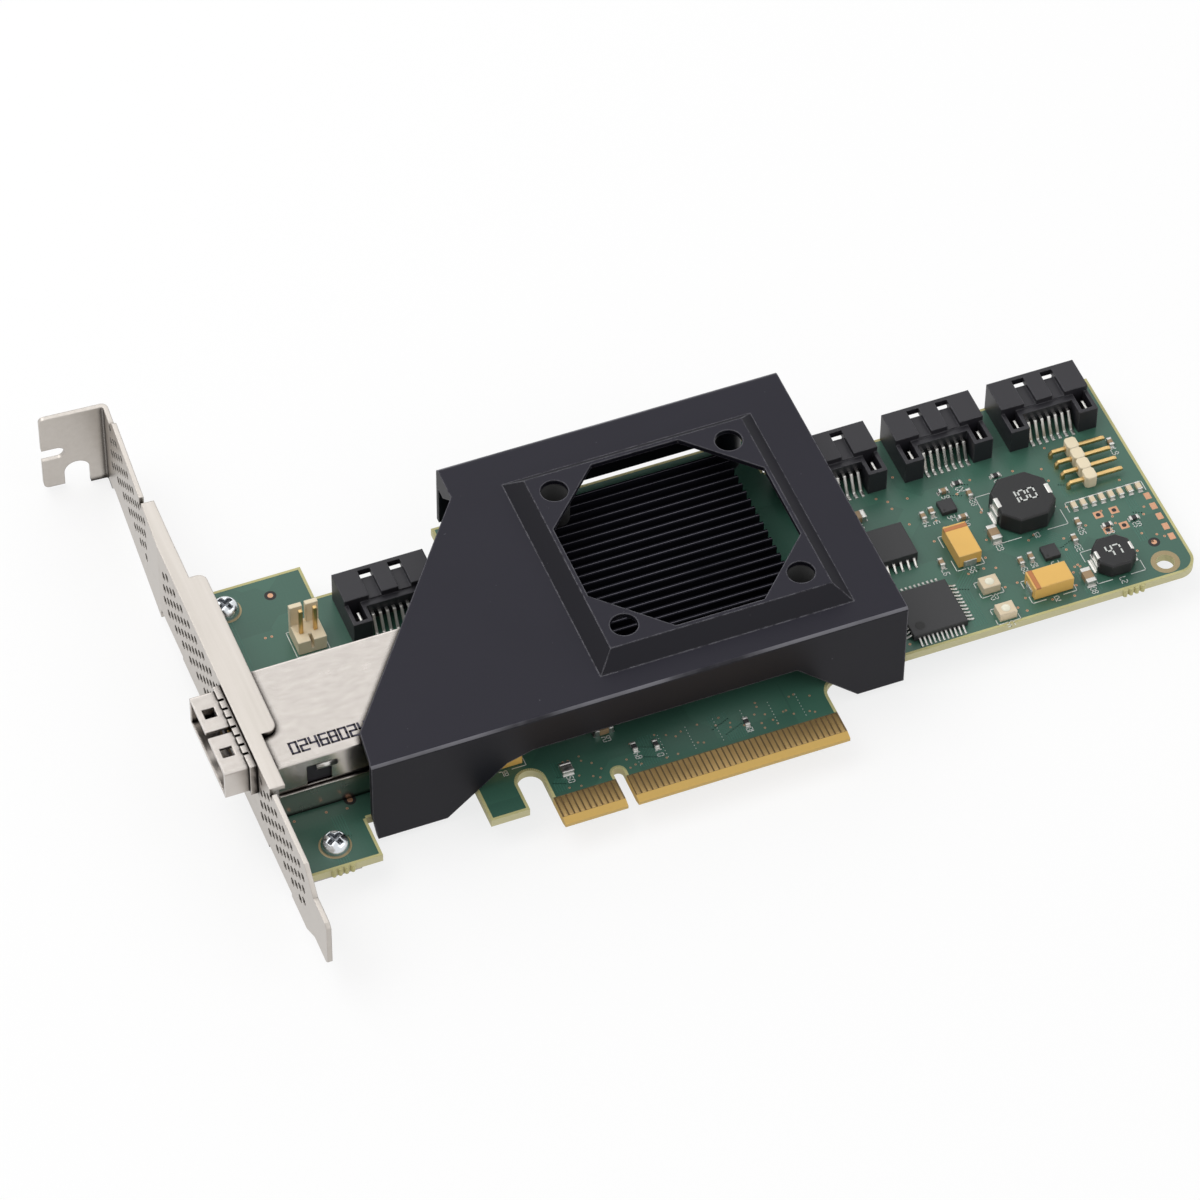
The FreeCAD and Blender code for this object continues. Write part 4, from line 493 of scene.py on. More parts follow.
@dataclass(frozen=True)
class FinFinish(Look):
    """Black anodised extrusion whose fin crowns carry a thin painted highlight line.

    Attributes:
        front: The sink's lowest y, in metres.
        top: The sink's highest z, in metres.
        colour: Colour of the coating.
        line: Colour of the painted highlight line.
        first: Distance from the sink's front to the first fin's middle.
        pitch: Fin pitch.
        share: Half-width of the line as a share of the pitch.
    """

    front: float
    top: float
    name: str = "black_anodised"
    colour: Colour = (0.006, 0.006, 0.009)
    line: Colour = (0.15, 0.145, 0.17)
    first: float = 0.35 * MM
    pitch: float = 1.9 * MM
    share: float = 0.026

    def paint(self, wire: Wiring, effects: Effects) -> dict[str, object]:
        """The painted highlight lies where the place within a pitch is near its middle, on the
        crowns only.
        """
        grain = wire.group(effects.grain)
        parts = wire.split(wire.place())
        along = wire.maths("SUBTRACT", parts["Y"], self.front + self.first - self.pitch / 2)
        turn = wire.maths("FRACT", wire.maths("DIVIDE", along, self.pitch))
        near = wire.maths("COMPARE", turn, 0.5, self.share)
        crown = wire.maths("GREATER_THAN", parts["Z"], self.top - 0.05 * MM)
        # Painted highlight along the fin crowns.
        crown_highlight = wire.times(wire.times(near, crown), wire.ramp(grain["Cloud"], 0.2, 0.5))
        return {"Base Color": wire.mix(crown_highlight, self.colour, self.line),
                "Roughness": wire.maths("MULTIPLY_ADD", grain["Cloud"], 0.1, 0.6),
                "Specular IOR Level": 0.03,
                "Normal": wire.bump(grain["Height"], 0.4, 0.01 * MM)}


@dataclass(frozen=True)
class ScrewFinish(Look):
    """Bright plating with painted shade inside the driver recess.

    Attributes:
        colour: Colour of the plating.
        deep: Painted shade at the floor of the recess.
        rough: Roughness.
    """

    name: str = "bright_screw"
    colour: Colour = (0.7, 0.73, 0.76)
    deep: Colour = (0.07, 0.075, 0.085)
    rough: float = 0.17

    def paint(self, wire: Wiring, effects: Effects) -> dict[str, object]:
        """The plating, with painted shade in the recess from the depth mask that the heads carry.
        """
        cloud = wire.group(effects.grain)["Cloud"]
        cavity = wire.add("Attribute", attribute_name=RECESS_SHADE)
        # Painted shade: the recess mask darkens the plating towards the deep colour.
        shade = wire.mix(cavity["Fac"], self.colour, self.deep)
        return {"Base Color": wire.mix(wire.times(cloud, 0.3), shade, dimmed(self.colour, 0.85)),
                "Roughness": wire.maths("MULTIPLY_ADD", cloud, 0.1, self.rough),
                "Metallic": 1.0}


class Finishes:
    """Every finish of the card, by the record's material slot or a detail's own name."""

    def __init__(self, effects: Effects) -> None:
        """Build all the materials.

        Args:
            effects: The shared shader groups.
        """
        fingers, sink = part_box("edge_contacts"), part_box("heat_sink")
        fine, deep = 0.008 * MM, 0.016 * MM
        looks = [
            Finish("port_nylon", (0.019, 0.018, 0.023), (0.09, 0.09, 0.1), 0.45, grain=deep,
                   vary=0.12, specular=0.35, edge_gain=4.0),
            Finish("chip_epoxy", (0.03, 0.03, 0.032), (0.08, 0.08, 0.08), 0.55, grain=deep,
                   grain_scale=1.5, vary=0.12, specular=0.4, edge_gain=2.0),
            Finish("thermal_gap_pad", (0.4, 0.4, 0.39), (0.5, 0.5, 0.5), 0.8),
            Finish("header_nylon", (0.9, 0.78, 0.56), (0.94, 0.88, 0.72), grain=fine,
                   specular=0.3),
            Finish("pressed_powder", (0.02, 0.02, 0.021), (0.1, 0.1, 0.1), grain=0.03 * MM,
                   grain_scale=0.8, vary=0.15, specular=0.3),
            Finish("tantalum_case", (0.88, 0.53, 0.14), (0.93, 0.66, 0.3), 0.42,
                   grain=0.012 * MM, grain_scale=1.2, specular=0.35),
            Finish("lamp_case", (0.8, 0.66, 0.46), (0.88, 0.8, 0.66), 0.4, grain=fine),
            Finish("fired_ceramic", (0.36, 0.24, 0.13), (0.5, 0.38, 0.25), 0.42,
                   grain=0.012 * MM, grain_scale=1.5),
            Finish("gold_plate", (0.76, 0.52, 0.22), (0.85, 0.65, 0.35), 0.3, 1.0,
                   0.004 * MM, 1.5, vary=0.15, edge_gain=1.0),
            Finish("tinned_lead", (0.68, 0.67, 0.64), (0.9, 0.89, 0.86), 0.3, 1.0,
                   grain_scale=1.2, vary=0.2, edge_gain=1.0),
            Finish("bare_copper", (0.66, 0.36, 0.22), (0.8, 0.5, 0.35), 0.5, 0.6,
                   grain_scale=1.5),
            Finish("bare_ring", (0.34, 0.27, 0.15), (0.5, 0.42, 0.28), 0.4, 0.6,
                   grain_scale=1.5),
            Finish("cut_laminate", (0.6, 0.56, 0.26), (0.7, 0.66, 0.4), 0.7, grain_scale=1.2),
            Finish("white_print", (0.8, 0.83, 0.79), (0.85, 0.86, 0.84), 0.6, grain=fine,
                   grain_scale=1.5),
            Finish("dark_ink", (0.03, 0.025, 0.05), (0.05, 0.05, 0.07), 0.6, grain=fine,
                   grain_scale=1.5),
            Finish("marking_bar", (0.55, 0.2, 0.06), (0.6, 0.3, 0.12)),
            Finish("traced_mask", (0.05, 0.165, 0.12), (0.05, 0.165, 0.12), 0.32,
                   grain=0.006 * MM),
            Finish("lamp_window", (0.93, 0.9, 0.72), (0.95, 0.93, 0.8), 0.2, grain=0.004 * MM,
                   vary=0.05, edge_gain=1.0, coat=0.3),
            # Painted shade for via bores, pad holes and the cover's screw sleeves; also the dark
            # pin-one dots and fiducial clearances.
            Finish("dark_hole", (0.012, 0.012, 0.012), (0.02, 0.02, 0.02), 0.7),
            SheetFinish("bracket_plate", (0.565, 0.53, 0.495), (0.46, 0.425, 0.385),
                        (1.0, 0.03, 1.0), 0.36),
            SheetFinish("cage_plate", (0.63, 0.59, 0.555), (0.54, 0.5, 0.465),
                        (0.4, 1.0, 1.0), 0.24),
            LaminateFinish((fingers[0].x, fingers[1].x)), CoverFinish(),
            FinFinish(sink[0].y, sink[1].z), ScrewFinish(),
        ]
        self.by_name = {look.name: look.build(effects) for look in looks}
        self.by_slot = {
            "board": "solder_mask_board", "gold": "gold_plate", "bracket_metal": "bracket_plate",
            "screw_metal": "bright_screw", "cage_metal": "cage_plate", "port_plastic": "port_nylon",
            "tin": "tinned_lead", "cover_plastic": "moulded_cover", "chip_plastic": "chip_epoxy",
            "pad": "thermal_gap_pad", "sink_metal": "black_anodised",
            "header_plastic": "header_nylon", "inductor": "pressed_powder",
            "tantalum": "tantalum_case", "lamp": "lamp_case", "ceramic": "fired_ceramic",
        }

    def dress_frame(self) -> None:
        """Give every CAD node the material of its slot."""
        for part in frame["record"]["subparts"]:
            piece = frame["nodes"][part["node"]]
            material = self.by_name[self.by_slot[part["material_slot"]]]
            piece.data.materials.clear()
            piece.data.materials.append(material)
            LOG.info("dressed %s with %s", part["node"], material.name)


# ---------------------------------------------------------------- mesh helpers
def grid_faces(rows: int, columns: int, wrap: bool) -> np.ndarray:
    """Quads of a grid of points stored row by row.

    Args:
        rows: Number of rows of points.
        columns: Number of points in a row.
        wrap: Whether the last column joins the first.

    Returns:
        An array of vertex numbers, four to a face.
    """
    across = columns if wrap else columns - 1
    row, column = np.meshgrid(np.arange(rows - 1), np.arange(across), indexing="ij")
    nxt = (column + 1) % columns
    corners = (row * columns + column, row * columns + nxt,
               (row + 1) * columns + nxt, (row + 1) * columns + column)
    return np.stack([corner.ravel() for corner in corners], axis=1)


@dataclass
class MeshStock:
    """Vertices and faces gathered for one piece.

    Attributes:
        points: Arrays of points in metres.
        faces: Arrays of faces.
        count: Number of points so far.
    """

    points: list[np.ndarray] = field(default_factory=list)
    faces: list[np.ndarray] = field(default_factory=list)
    count: int = 0

    def add(self, points: np.ndarray, faces: np.ndarray) -> None:
        """Append one patch: its points, and faces as numbers within those points."""
        self.points.append(points)
        self.faces.append(faces + self.count)
        self.count += len(points)

    def prism(self, outline: np.ndarray, low: float, high: float) -> None:
        """Append an upright prism: its outline at two heights, the wall, then both flat ends.

        Args:
            outline: Plan points, turning left.
            low: Height of the foot.
            high: Height of the top.
        """
        count = len(outline)
        ends = np.stack([np.arange(count)[::-1], np.arange(count) + count]) + self.count
        self.add(np.concatenate([np.column_stack([outline, np.full(count, level)])
                                 for level in (low, high)]), grid_faces(2, count, True))
        self.faces.append(ends)


def box_faces(count: int) -> np.ndarray:
    """Outward faces of several boxes, each with its four lower corners before its upper ones."""
    quads = np.array([(0, 3, 2, 1), (4, 5, 6, 7), (0, 1, 5, 4),
                      (1, 2, 6, 5), (2, 3, 7, 6), (3, 0, 4, 7)])
    return (quads + 8 * np.arange(count)[:, None, None]).reshape(-1, 4)


def slabs(lows: np.ndarray, highs: np.ndarray) -> Pair:
    """Many boxes at once: each corner takes its x, y and z from the low or the high corner.

    Args:
        lows: Lowest corners, one row each.
        highs: Highest corners, one row each.

    Returns:
        Points and outward faces.
    """
    pick = np.array([(x, y, z) for z in (0, 1) for x, y in ((0, 0), (1, 0), (1, 1), (0, 1))])
    corners = lows[:, None, :] * (1 - pick) + highs[:, None, :] * pick
    return corners.reshape(-1, 3), box_faces(len(lows))


def end_slabs(low: np.ndarray, high: np.ndarray, axis: int, near: float, far: float) -> Pair:
    """The two end parts of a box along an axis: from its low end to near, and from far on."""
    inner, outer = high.copy(), low.copy()
    inner[axis], outer[axis] = near, far
    return slabs(np.array([low, outer]), np.array([inner, high]))


def long_axis(low: np.ndarray, high: np.ndarray) -> int:
    """0 for a box longer across than up the board, else 1."""
    return 0 if high[0] - low[0] > high[1] - low[1] else 1


def strips(starts: np.ndarray, ends: np.ndarray, width: float, low: float, high: float,
           reach: float = 0.5) -> Pair:
    """Flat bars between pairs of plan points.

    Each corner is an end point, plus or minus a share of the width along the line's own
    direction and half a width along the direction square to it.

    Args:
        starts: Plan points, two numbers each.
        ends: Plan points, two numbers each.
        width: Bar width.
        low: Underside height.
        high: Top height.
        reach: Share of the width by which the bars run past their end points.

    Returns:
        Points and outward faces.
    """
    run = ends - starts
    run = run / np.linalg.norm(run, axis=1, keepdims=True)
    side = width / 2 * np.stack([-run[:, 1], run[:, 0]], axis=1)
    first, last = starts - reach * width * run, ends + reach * width * run
    plan = np.stack([first - side, last - side, last + side, first + side], axis=1)
    points = np.concatenate([np.dstack([plan, np.full(plan.shape[:2], level)])
                             for level in (low, high)], axis=1)
    return points.reshape(-1, 3), box_faces(len(starts))


def lathe(profile: np.ndarray, centre: tuple[float, float, float], sides: int,
          first: float = 0.0) -> Pair:
    """Surface of revolution about a vertical axis: (r cos t, r sin t, h) for t round the circle.

    Args:
        profile: Radius and height pairs, from the foot up to the crown.
        centre: Centre of the foot.
        sides: Points round the circle.
        first: Angle of the first point, in radians.

    Returns:
        Points and outward faces.
    """
    turn = first + np.linspace(0, 2 * math.pi, sides, endpoint=False)
    radius, height = profile[:, :1], profile[:, 1:]
    points = np.stack([radius * np.cos(turn), radius * np.sin(turn),
                       np.broadcast_to(height, (len(profile), sides))], axis=2)
    return points.reshape(-1, 3) + np.array(centre), grid_faces(len(profile), sides, True)


def welded(node: str) -> Pair:
    """Corners of a CAD node with doubles joined, and its triangles.

    Args:
        node: CAD node name.

    Returns:
        Corners in metres, and triangles as numbers of those corners.
    """
    mesh = frame["nodes"][node].data
    co = np.zeros(len(mesh.vertices) * 3, np.float32)
    mesh.vertices.foreach_get("co", co)
    co = co.reshape(-1, 3).astype(float)
    mesh.calc_loop_triangles()
    corners = np.zeros(len(mesh.loop_triangles) * 3, np.int32)
    mesh.loop_triangles.foreach_get("vertices", corners)
    keys = np.round(co / (0.001 * MM)).astype(np.int64)
    _, first, same = np.unique(keys, axis=0, return_index=True, return_inverse=True)
    return co[first], same.ravel()[corners].reshape(-1, 3)


def islands(node: str) -> list[Pair]:
    """Boxes of the separate solids of a CAD node.

    Faces that share a corner belong together: each corner takes the lowest label among its
    faces until no label changes.

    Args:
        node: CAD node name.

    Returns:
        Lowest and highest corner of each solid, from left to right.
    """
    co, triangles = welded(node)
    label = np.arange(len(co))
    while True:
        fresh = label.copy()
        np.minimum.at(fresh, triangles.ravel(), np.repeat(label[triangles].min(axis=1), 3))
        if np.array_equal(fresh, label):
            break
        label = fresh
    solids = (co[label == one] for one in np.unique(label))
    boxes = [(solid.min(axis=0), solid.max(axis=0)) for solid in solids]
    return sorted(boxes, key=lambda pair: (pair[0][0], pair[0][1]))


def rim(node: str, level: float) -> Pair:
    """Plan outline of a node's flat top: its edges that only one upward triangle has.

    Args:
        node: CAD node name.
        level: Height of the top, in metres.

    Returns:
        Start and end points, with the material on the left of each run.
    """
    co, triangles = welded(node)
    sides = co[triangles]
    normal = np.cross(sides[:, 1] - sides[:, 0], sides[:, 2] - sides[:, 0])
    upward = normal[:, 2] > 0.9 * np.linalg.norm(normal, axis=1)
    on_top = np.abs(sides[:, :, 2] - level).max(axis=1) < 0.01 * MM
    chosen = triangles[upward & on_top]
    edges = np.concatenate([chosen[:, pair] for pair in ([0, 1], [1, 2], [2, 0])])
    _, index, times = np.unique(np.sort(edges, axis=1), axis=0,
                                return_index=True, return_counts=True)
    outer = edges[index[times == 1]]
    return co[outer[:, 0], :2], co[outer[:, 1], :2]


# ---------------------------------------------------------------- details
SEGMENTS = {"a": ((0, 2), (1, 2)), "b": ((1, 2), (1, 1)), "c": ((1, 1), (1, 0)),
            "d": ((0, 0), (1, 0)), "e": ((0, 0), (0, 1)), "f": ((0, 1), (0, 2)),
            "g": ((0, 1), (1, 1))}
NUMERALS = {"0": "abcdef", "1": "bc", "2": "abged", "3": "abgcd", "4": "fgbc", "5": "afgcd",
            "6": "afgedc", "7": "abc", "8": "abcdefg", "9": "abcdfg"}
NUMERAL_WIDTH, NUMERAL_STEP = 0.5, 0.75


def numerals(text: str, corner: tuple[float, float], height: float,
             upright: bool = True) -> Pair:
    """Strokes of plain squared numerals.

    A stroke's unit points (u, v) go to corner + height * (step i + width u, v / 2), with i the
    numeral's place in the row, and a quarter turn more where the row runs up the board.

    Args:
        text: The numerals.
        corner: Lower left corner of the row.
        height: Height of a numeral.
        upright: False to run the row up the board.

    Returns:
        Starts and ends of the strokes.
    """
    strokes = [[(NUMERAL_STEP * place + NUMERAL_WIDTH * u, v / 2) for u, v in SEGMENTS[part]]
               for place, numeral in enumerate(text) for part in NUMERALS[numeral]]
    points = height * np.array(strokes)
    if not upright:
        points = np.stack([height - points[..., 1], points[..., 0]], axis=-1)
    points = points + np.array(corner)
    return points[:, 0], points[:, 1]


# Places on the board, in millimetres.
FAN_CENTRE = (23.2, 39.0)
MOUNTING_HOLE = (104.9, 16.2)
NUBS = ((97.5, 13.0), (-49.7, 4.7))
FIDUCIALS = ((105.0, 21.0), (-41.1, 64.6), (-43.8, 17.6))
TEST_PADS = ((98.6, 30.2), (101.6, 30.2), (98.7, 26.4), (101.8, 26.4))
END_PADS = ((108.4, 31.1), (108.4, 28.6), (108.4, 26.1), (108.4, 23.6), (108.4, 21.15))
VIA_FIELD = ((-55.0, 14.0), (108.0, 59.0))
TONGUE_FIELD = ((-10.0, 6.4), (38.0, 12.6))
CONTACT_TOP = 5.8
TAB_RIGHT = -12.3

TALL_NODES = ("power_inductor", "power_inductor_tabs", "small_inductor", "small_inductor_tabs",
              "flash_chip", "flash_chip_leads", "logic_chip", "logic_chip_leads",
              "tantalum_capacitors", "tantalum_terminals", "regulator_chips", "beacon_lamps",
              "chip_capacitors", "ceramic_capacitors", "light_header", "light_header_pins",
              "status_lamps", "chip_resistors", "drive_port_1", "drive_port_2", "drive_port_3",
              "drive_port_4", "drive_port_pins_2", "drive_port_pins_3", "drive_port_pins_4",
              "fan_header", "board_fuse", "bracket_screws", "external_port_cage")


def tall_boxes() -> Pair:
    """Lowest and highest plan corners of the solids that print and vias keep clear of."""
    boxes = [box for node in TALL_NODES for box in islands(node)]
    return np.array([low[:2] for low, _ in boxes]), np.array([high[:2] for _, high in boxes])


@dataclass
class Detail:
    """A group of small pieces that ride on the card.

    Attributes:
        looks: The card's materials by name.
    """

    looks: dict[str, bpy.types.Material]

    def make(self, stock: MeshStock, name: str, look: str, slot: str, smooth: bool = False,
             cavity: np.ndarray | None = None) -> bpy.types.Object:
        """Turn what a stock holds into a piece that rides on the card.

        Args:
            stock: The piece's points and faces.
            name: Piece name.
            look: Name of its material.
            slot: The record's material slot; not used.
            smooth: Whether its faces are shaded smooth.
            cavity: Depth mask of each point, from 0 to 1, kept for painted shade in the recess.

        Returns:
            The new object.
        """
        faces = [tuple(face) for block in stock.faces for face in block.tolist()]
        mesh = bpy.data.meshes.new(name)
        mesh.from_pydata(np.concatenate(stock.points), [], faces)
        mesh.materials.append(self.looks[look])
        if smooth:
            mesh.shade_smooth()
        if cavity is not None:
            mask = mesh.attributes.new(RECESS_SHADE, "FLOAT", "POINT")
            mask.data.foreach_set("value", cavity.astype(np.float32))
        piece = bpy.data.objects.new(name, mesh)
        bpy.context.scene.collection.objects.link(piece)
        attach(piece, BODY)
        LOG.info("made %s: %d faces", name, len(faces))
        return piece

    def build(self) -> None:
        """Make the group's pieces."""
        raise NotImplementedError


@dataclass
class BoardPrint(Detail):
    """White print on the component face: outlines round a few parts and plain numerals.

    Attributes:
        line: Line width in metres.
        rise: Height of the ink.
        height: Height of the numerals.
        outlined: Rows of the node that gives an outline its width, the node that gives it its
            depth, its gap in millimetres, and the share of each side that its corners cover.
        bracketed: Nodes whose solids get an outline each, by the solid's own box.
        numbered: Nodes whose solids get two numerals beside them.
    """

    line: float = 0.15 * MM
    rise: float = 0.02 * MM
    height: float = 1.05 * MM
    outlined: tuple[tuple[str, str, float, float], ...] = (
        ("power_inductor_tabs", "power_inductor", 0.5, 0.3),
        ("small_inductor_tabs", "small_inductor", 0.35, 0.3),
        ("fan_header", "fan_header", 0.4, 0.5))
    bracketed: tuple[str, ...] = ("tantalum_capacitors", "beacon_lamps")
    numbered: tuple[str, ...] = ("power_inductor", "small_inductor", "regulator_chips",
                                 "tantalum_capacitors", "ceramic_capacitors", "chip_capacitors",
                                 "chip_resistors", "beacon_lamps", "drive_port_2", "drive_port_3",
                                 "drive_port_4", "board_fuse")

    def frames(self) -> Pair:
        """Corner brackets round the listed parts, and a long tray round the row of lamps.

        Returns:
            Starts and ends of the lines.
        """
        rows = [(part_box(wide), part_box(deep), gap, share)
                for wide, deep, gap, share in self.outlined]
        rows += [(box, box, 0.5, 0.3) for node in self.bracketed for box in islands(node)]
        starts, ends = [], []
        for wide, deep, gap, share in rows:
            x1, x2 = wide[0][0] - gap * MM, wide[1][0] + gap * MM
            y1, y2 = deep[0][1] - gap * MM, deep[1][1] + gap * MM
            across, up = share * (x2 - x1), share * (y2 - y1)
            for x, y, a, b in ((x1, y1, across, up), (x2, y1, -across, up),
                               (x2, y2, -across, -up), (x1, y2, across, -up)):
                starts += [(x, y), (x, y)]
                ends += [(x + a, y), (x, y + b)]
        low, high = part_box("status_lamps")
        top, left, right = high.y + 0.45 * MM, low.x - 0.7 * MM, high.x + 0.6 * MM
        starts += [(left, top), (left, top), (right, top)]
        ends += [(right, top), (left, low.y), (right, low.y)]
        return np.array(starts), np.array(ends)

    def labels(self) -> Pair:
        """Two plain numerals beside each listed solid, on the first side that is free.

        Returns:
            Starts and ends of the strokes.
        """
        lows, highs = tall_boxes()
        board_low, board_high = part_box("circuit_board")
        gap, room, span = 0.45 * MM, 0.2 * MM, NUMERAL_STEP + NUMERAL_WIDTH
        starts, ends = [], []
        for number, (low, high) in enumerate(box for node in self.numbered
                                             for box in islands(node)):
            flat = high[0] - low[0] >= high[1] - low[1]
            size = np.array([span, 1.0] if flat else [1.0, span]) * self.height
            left, foot = (low[:2] + high[:2]) / 2 - size / 2
            for corner in ((left, low[1] - gap - size[1]), (left, high[1] + gap),
                           (high[0] + gap, foot), (low[0] - gap - size[0], foot)):
                clear = np.all(np.any((corner + size < lows - room) | (corner > highs + room),
                                      axis=1))
                inside = board_low.x < corner[0] < board_high.x - 3 * MM and corner[1] > 6.2 * MM
                if clear and inside:
                    strokes = numerals(f"{(17 * number + 10) % 100:02d}", corner, self.height, flat)
                    starts.append(strokes[0])
                    ends.append(strokes[1])
                    lows, highs = np.vstack([lows, corner]), np.vstack([highs, corner + size])
                    break
        return np.concatenate(starts), np.concatenate(ends)

    def dotted_rows(self) -> Pair:
        """Starts and ends of the dot columns that mark the contact rows on the tongue."""
        x, y = np.meshgrid(np.arange(4.0, 38.0, 5.0) * MM, np.arange(7.0, 12.6, 0.7) * MM)
        starts = np.column_stack([x.ravel(), y.ravel()])
        return starts, starts + np.array([0.0, 0.08 * MM])

    def build(self) -> None:
        """Make the print as one thin piece, and the ink on the cage and the chokes."""
        stock = MeshStock()
        for starts, ends in (self.frames(), self.labels()):
            stock.add(*strips(starts, ends, self.line, 0.0, self.rise))
        stock.add(*strips(*self.dotted_rows(), 0.1 * MM, 0.0, self.rise))
        self.make(stock, "board_print", "white_print", "board")
        self.rating("power_inductor", "100", 2.3 * MM)
        self.rating("small_inductor", "47", 2.0 * MM)
        low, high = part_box("external_port_cage")
        ink = MeshStock()
        strokes = numerals("02468024", (low.x + 12.0 * MM, low.y + 1.9 * MM), 2.3 * MM)
        ink.add(*strips(*strokes, 0.38 * MM, high.z - 0.01 * MM, high.z + self.rise))
        self.make(ink, "cage_ink", "dark_ink", "cage_metal")

    def rating(self, node: str, text: str, height: float) -> None:
        """Print a plain number on top of a choke.

        Args:
            node: The choke's node.
            text: The numerals.
            height: Their height.
        """
        low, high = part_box(node)
        width = (NUMERAL_STEP * (len(text) - 1) + NUMERAL_WIDTH) * height
        corner = ((low.x + high.x - width) / 2, (low.y + high.y - height) / 2)
        ink = MeshStock()
        ink.add(*strips(*numerals(text, corner, height), 0.3 * MM, high.z - 0.01 * MM,
                        high.z + self.rise))
        self.make(ink, f"{node}_number", "white_print", "inductor")


@dataclass
class Copper(Detail):
    """Vias, test pads and screw pads that show through the mask.

    Attributes:
        via_radius: Outer radius of a via's ring.
        rise: Height of the copper over the mask.
        sides: Points round a via.
        seed: Seed of the random places.
        vias: Places tried on the open board.
        tongue_vias: Places tried on the tongue.
        room: How far a via keeps from other parts.
    """

    via_radius: float = 0.24 * MM
    rise: float = 0.018 * MM
    sides: int = 10
    seed: int = 5
    vias: int = 520
    tongue_vias: int = 50
    room: float = 0.6 * MM

    def ring(self, stock: MeshStock, x: float, y: float, outer: float, inner: float,
             sides: int) -> None:
        """Add a flat ring with a low rim about (x, y)."""
        profile = np.array([(outer, 0.0), (outer, self.rise), (inner, self.rise), (inner, 0.0)])
        stock.add(*lathe(profile, (x, y, 0.0), sides, math.pi / 4 if sides == 4 else 0.0))

    def free(self, x: float, y: float) -> bool:
        """Whether a point on the board is clear of the cover, cage and cut-outs."""
        board_low, board_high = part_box("circuit_board")
        cover_low, cover_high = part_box("cooling_cover")
        cage_low, cage_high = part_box("external_port_cage")
        inside = board_low.x + 3 * MM < x < board_high.x - 2 * MM and 14.5 * MM < y < 58 * MM
        caged = x < cage_high.x + MM and cage_low.y - MM < y < cage_high.y + MM
        return inside and not cover_low.x < x < cover_high.x and not caged

    def build(self) -> None:
        """Make the vias, the painted shade in their bores, the pads and the screw rings."""
        rng = np.random.default_rng(self.seed)
        lows, highs = tall_boxes()
        # The second stock gathers dark discs: painted shade in bores and pad holes, and fiducial
        # clearances.
        rings, holes = MeshStock(), MeshStock()
        for x, y in rng.uniform(*(MM * np.array(VIA_FIELD)), (self.vias, 2)):
            covered = (lows - self.room < (x, y)) & ((x, y) < highs + self.room)
            if not covered.all(axis=1).any() and self.free(x, y):
                self.ring(rings, x, y, self.via_radius, 0.4 * self.via_radius, self.sides)
                self.plug(holes, x, y, 0.4 * self.via_radius)
        for x, y in rng.uniform(*(MM * np.array(TONGUE_FIELD)), (self.tongue_vias, 2)):
            if abs(x) > 2 * MM:
                self.ring(rings, x, y, 0.8 * self.via_radius, 0.35 * self.via_radius, self.sides)
        for x, y in FIDUCIALS:
            self.ring(rings, x * MM, y * MM, 0.5 * MM, 0.02 * MM, 20)
            self.plug(holes, x * MM, y * MM, 1.05 * MM, 0.2)
        for x, y in TEST_PADS:
            self.ring(rings, x * MM, y * MM, 1.1 * MM, 0.5 * MM, 4)
            self.plug(holes, x * MM, y * MM, 0.42 * MM, 1.3)
        self.make(rings, "board_vias", "bare_copper", "gold")
        self.make(holes, "via_bores", "dark_hole", "board")
        pads = MeshStock()
        for low, high in islands("bracket_screws"):
            centre = (low + high) / 2
            self.ring(pads, centre[0], centre[1], 2.8 * MM, 1.7 * MM, 40)
        self.ring(pads, MOUNTING_HOLE[0] * MM, MOUNTING_HOLE[1] * MM, 2.55 * MM, 1.62 * MM, 48)
        self.make(pads, "screw_pads", "bare_ring", "gold")
        centres, half = np.array(END_PADS) * MM, np.array([0.55, 0.75]) * MM
        stock = MeshStock()
        stock.add(*slabs(np.insert(centres - half, 2, 0.0, axis=1),
                         np.insert(centres + half, 2, self.rise, axis=1)))
        self.make(stock, "end_pads", "bare_copper", "gold")
        self.margin()

    def plug(self, stock: MeshStock, x: float, y: float, radius: float,
             share: float = 0.3) -> None:
        """Add a dark disc about (x, y), its height a share of the copper's: painted shade in a bore
        or a pad's hole, or a fiducial's dark clearance.
        """
        disc = np.array([(radius, 0.0), (radius, share * self.rise), (0.0, share * self.rise)])
        stock.add(*lathe(disc, (x, y, 0.0), 2 * self.sides))

    def margin(self, width: float = 0.5 * MM) -> None:
        """Bare laminate along the board's outline, except round the edge contacts.

        Args:
            width: Width of the bare strip.
        """
        starts, ends = rim("circuit_board", 0.0)
        length = np.linalg.norm(ends - starts, axis=1)
        on_tab = np.minimum(starts[:, 0], ends[:, 0]) < TAB_RIGHT * MM
        away = np.maximum(starts[:, 1], ends[:, 1]) > CONTACT_TOP * MM
        keep = (away | on_tab) & (length >= 0.02 * MM)
        starts, ends, floor = starts[keep], ends[keep], np.where(on_tab, -np.inf, CONTACT_TOP * MM)
        run = (ends - starts) / length[keep, None]
        inward = width / 2 * np.column_stack([-run[:, 1], run[:, 0]])
        for points in (starts, ends):
            points[:, 1] = np.maximum(points[:, 1], floor[keep])
        across = np.abs(run[:, 0]) > np.abs(run[:, 1])
        stock = MeshStock()
        for group, share in ((across, 0.5), (~across, 0.62)):
            stock.add(*strips((starts + inward)[group], (ends + inward)[group], width,
                              0.0, share * self.rise, 0.0))
        self.make(stock, "bare_margin", "cut_laminate", "board")


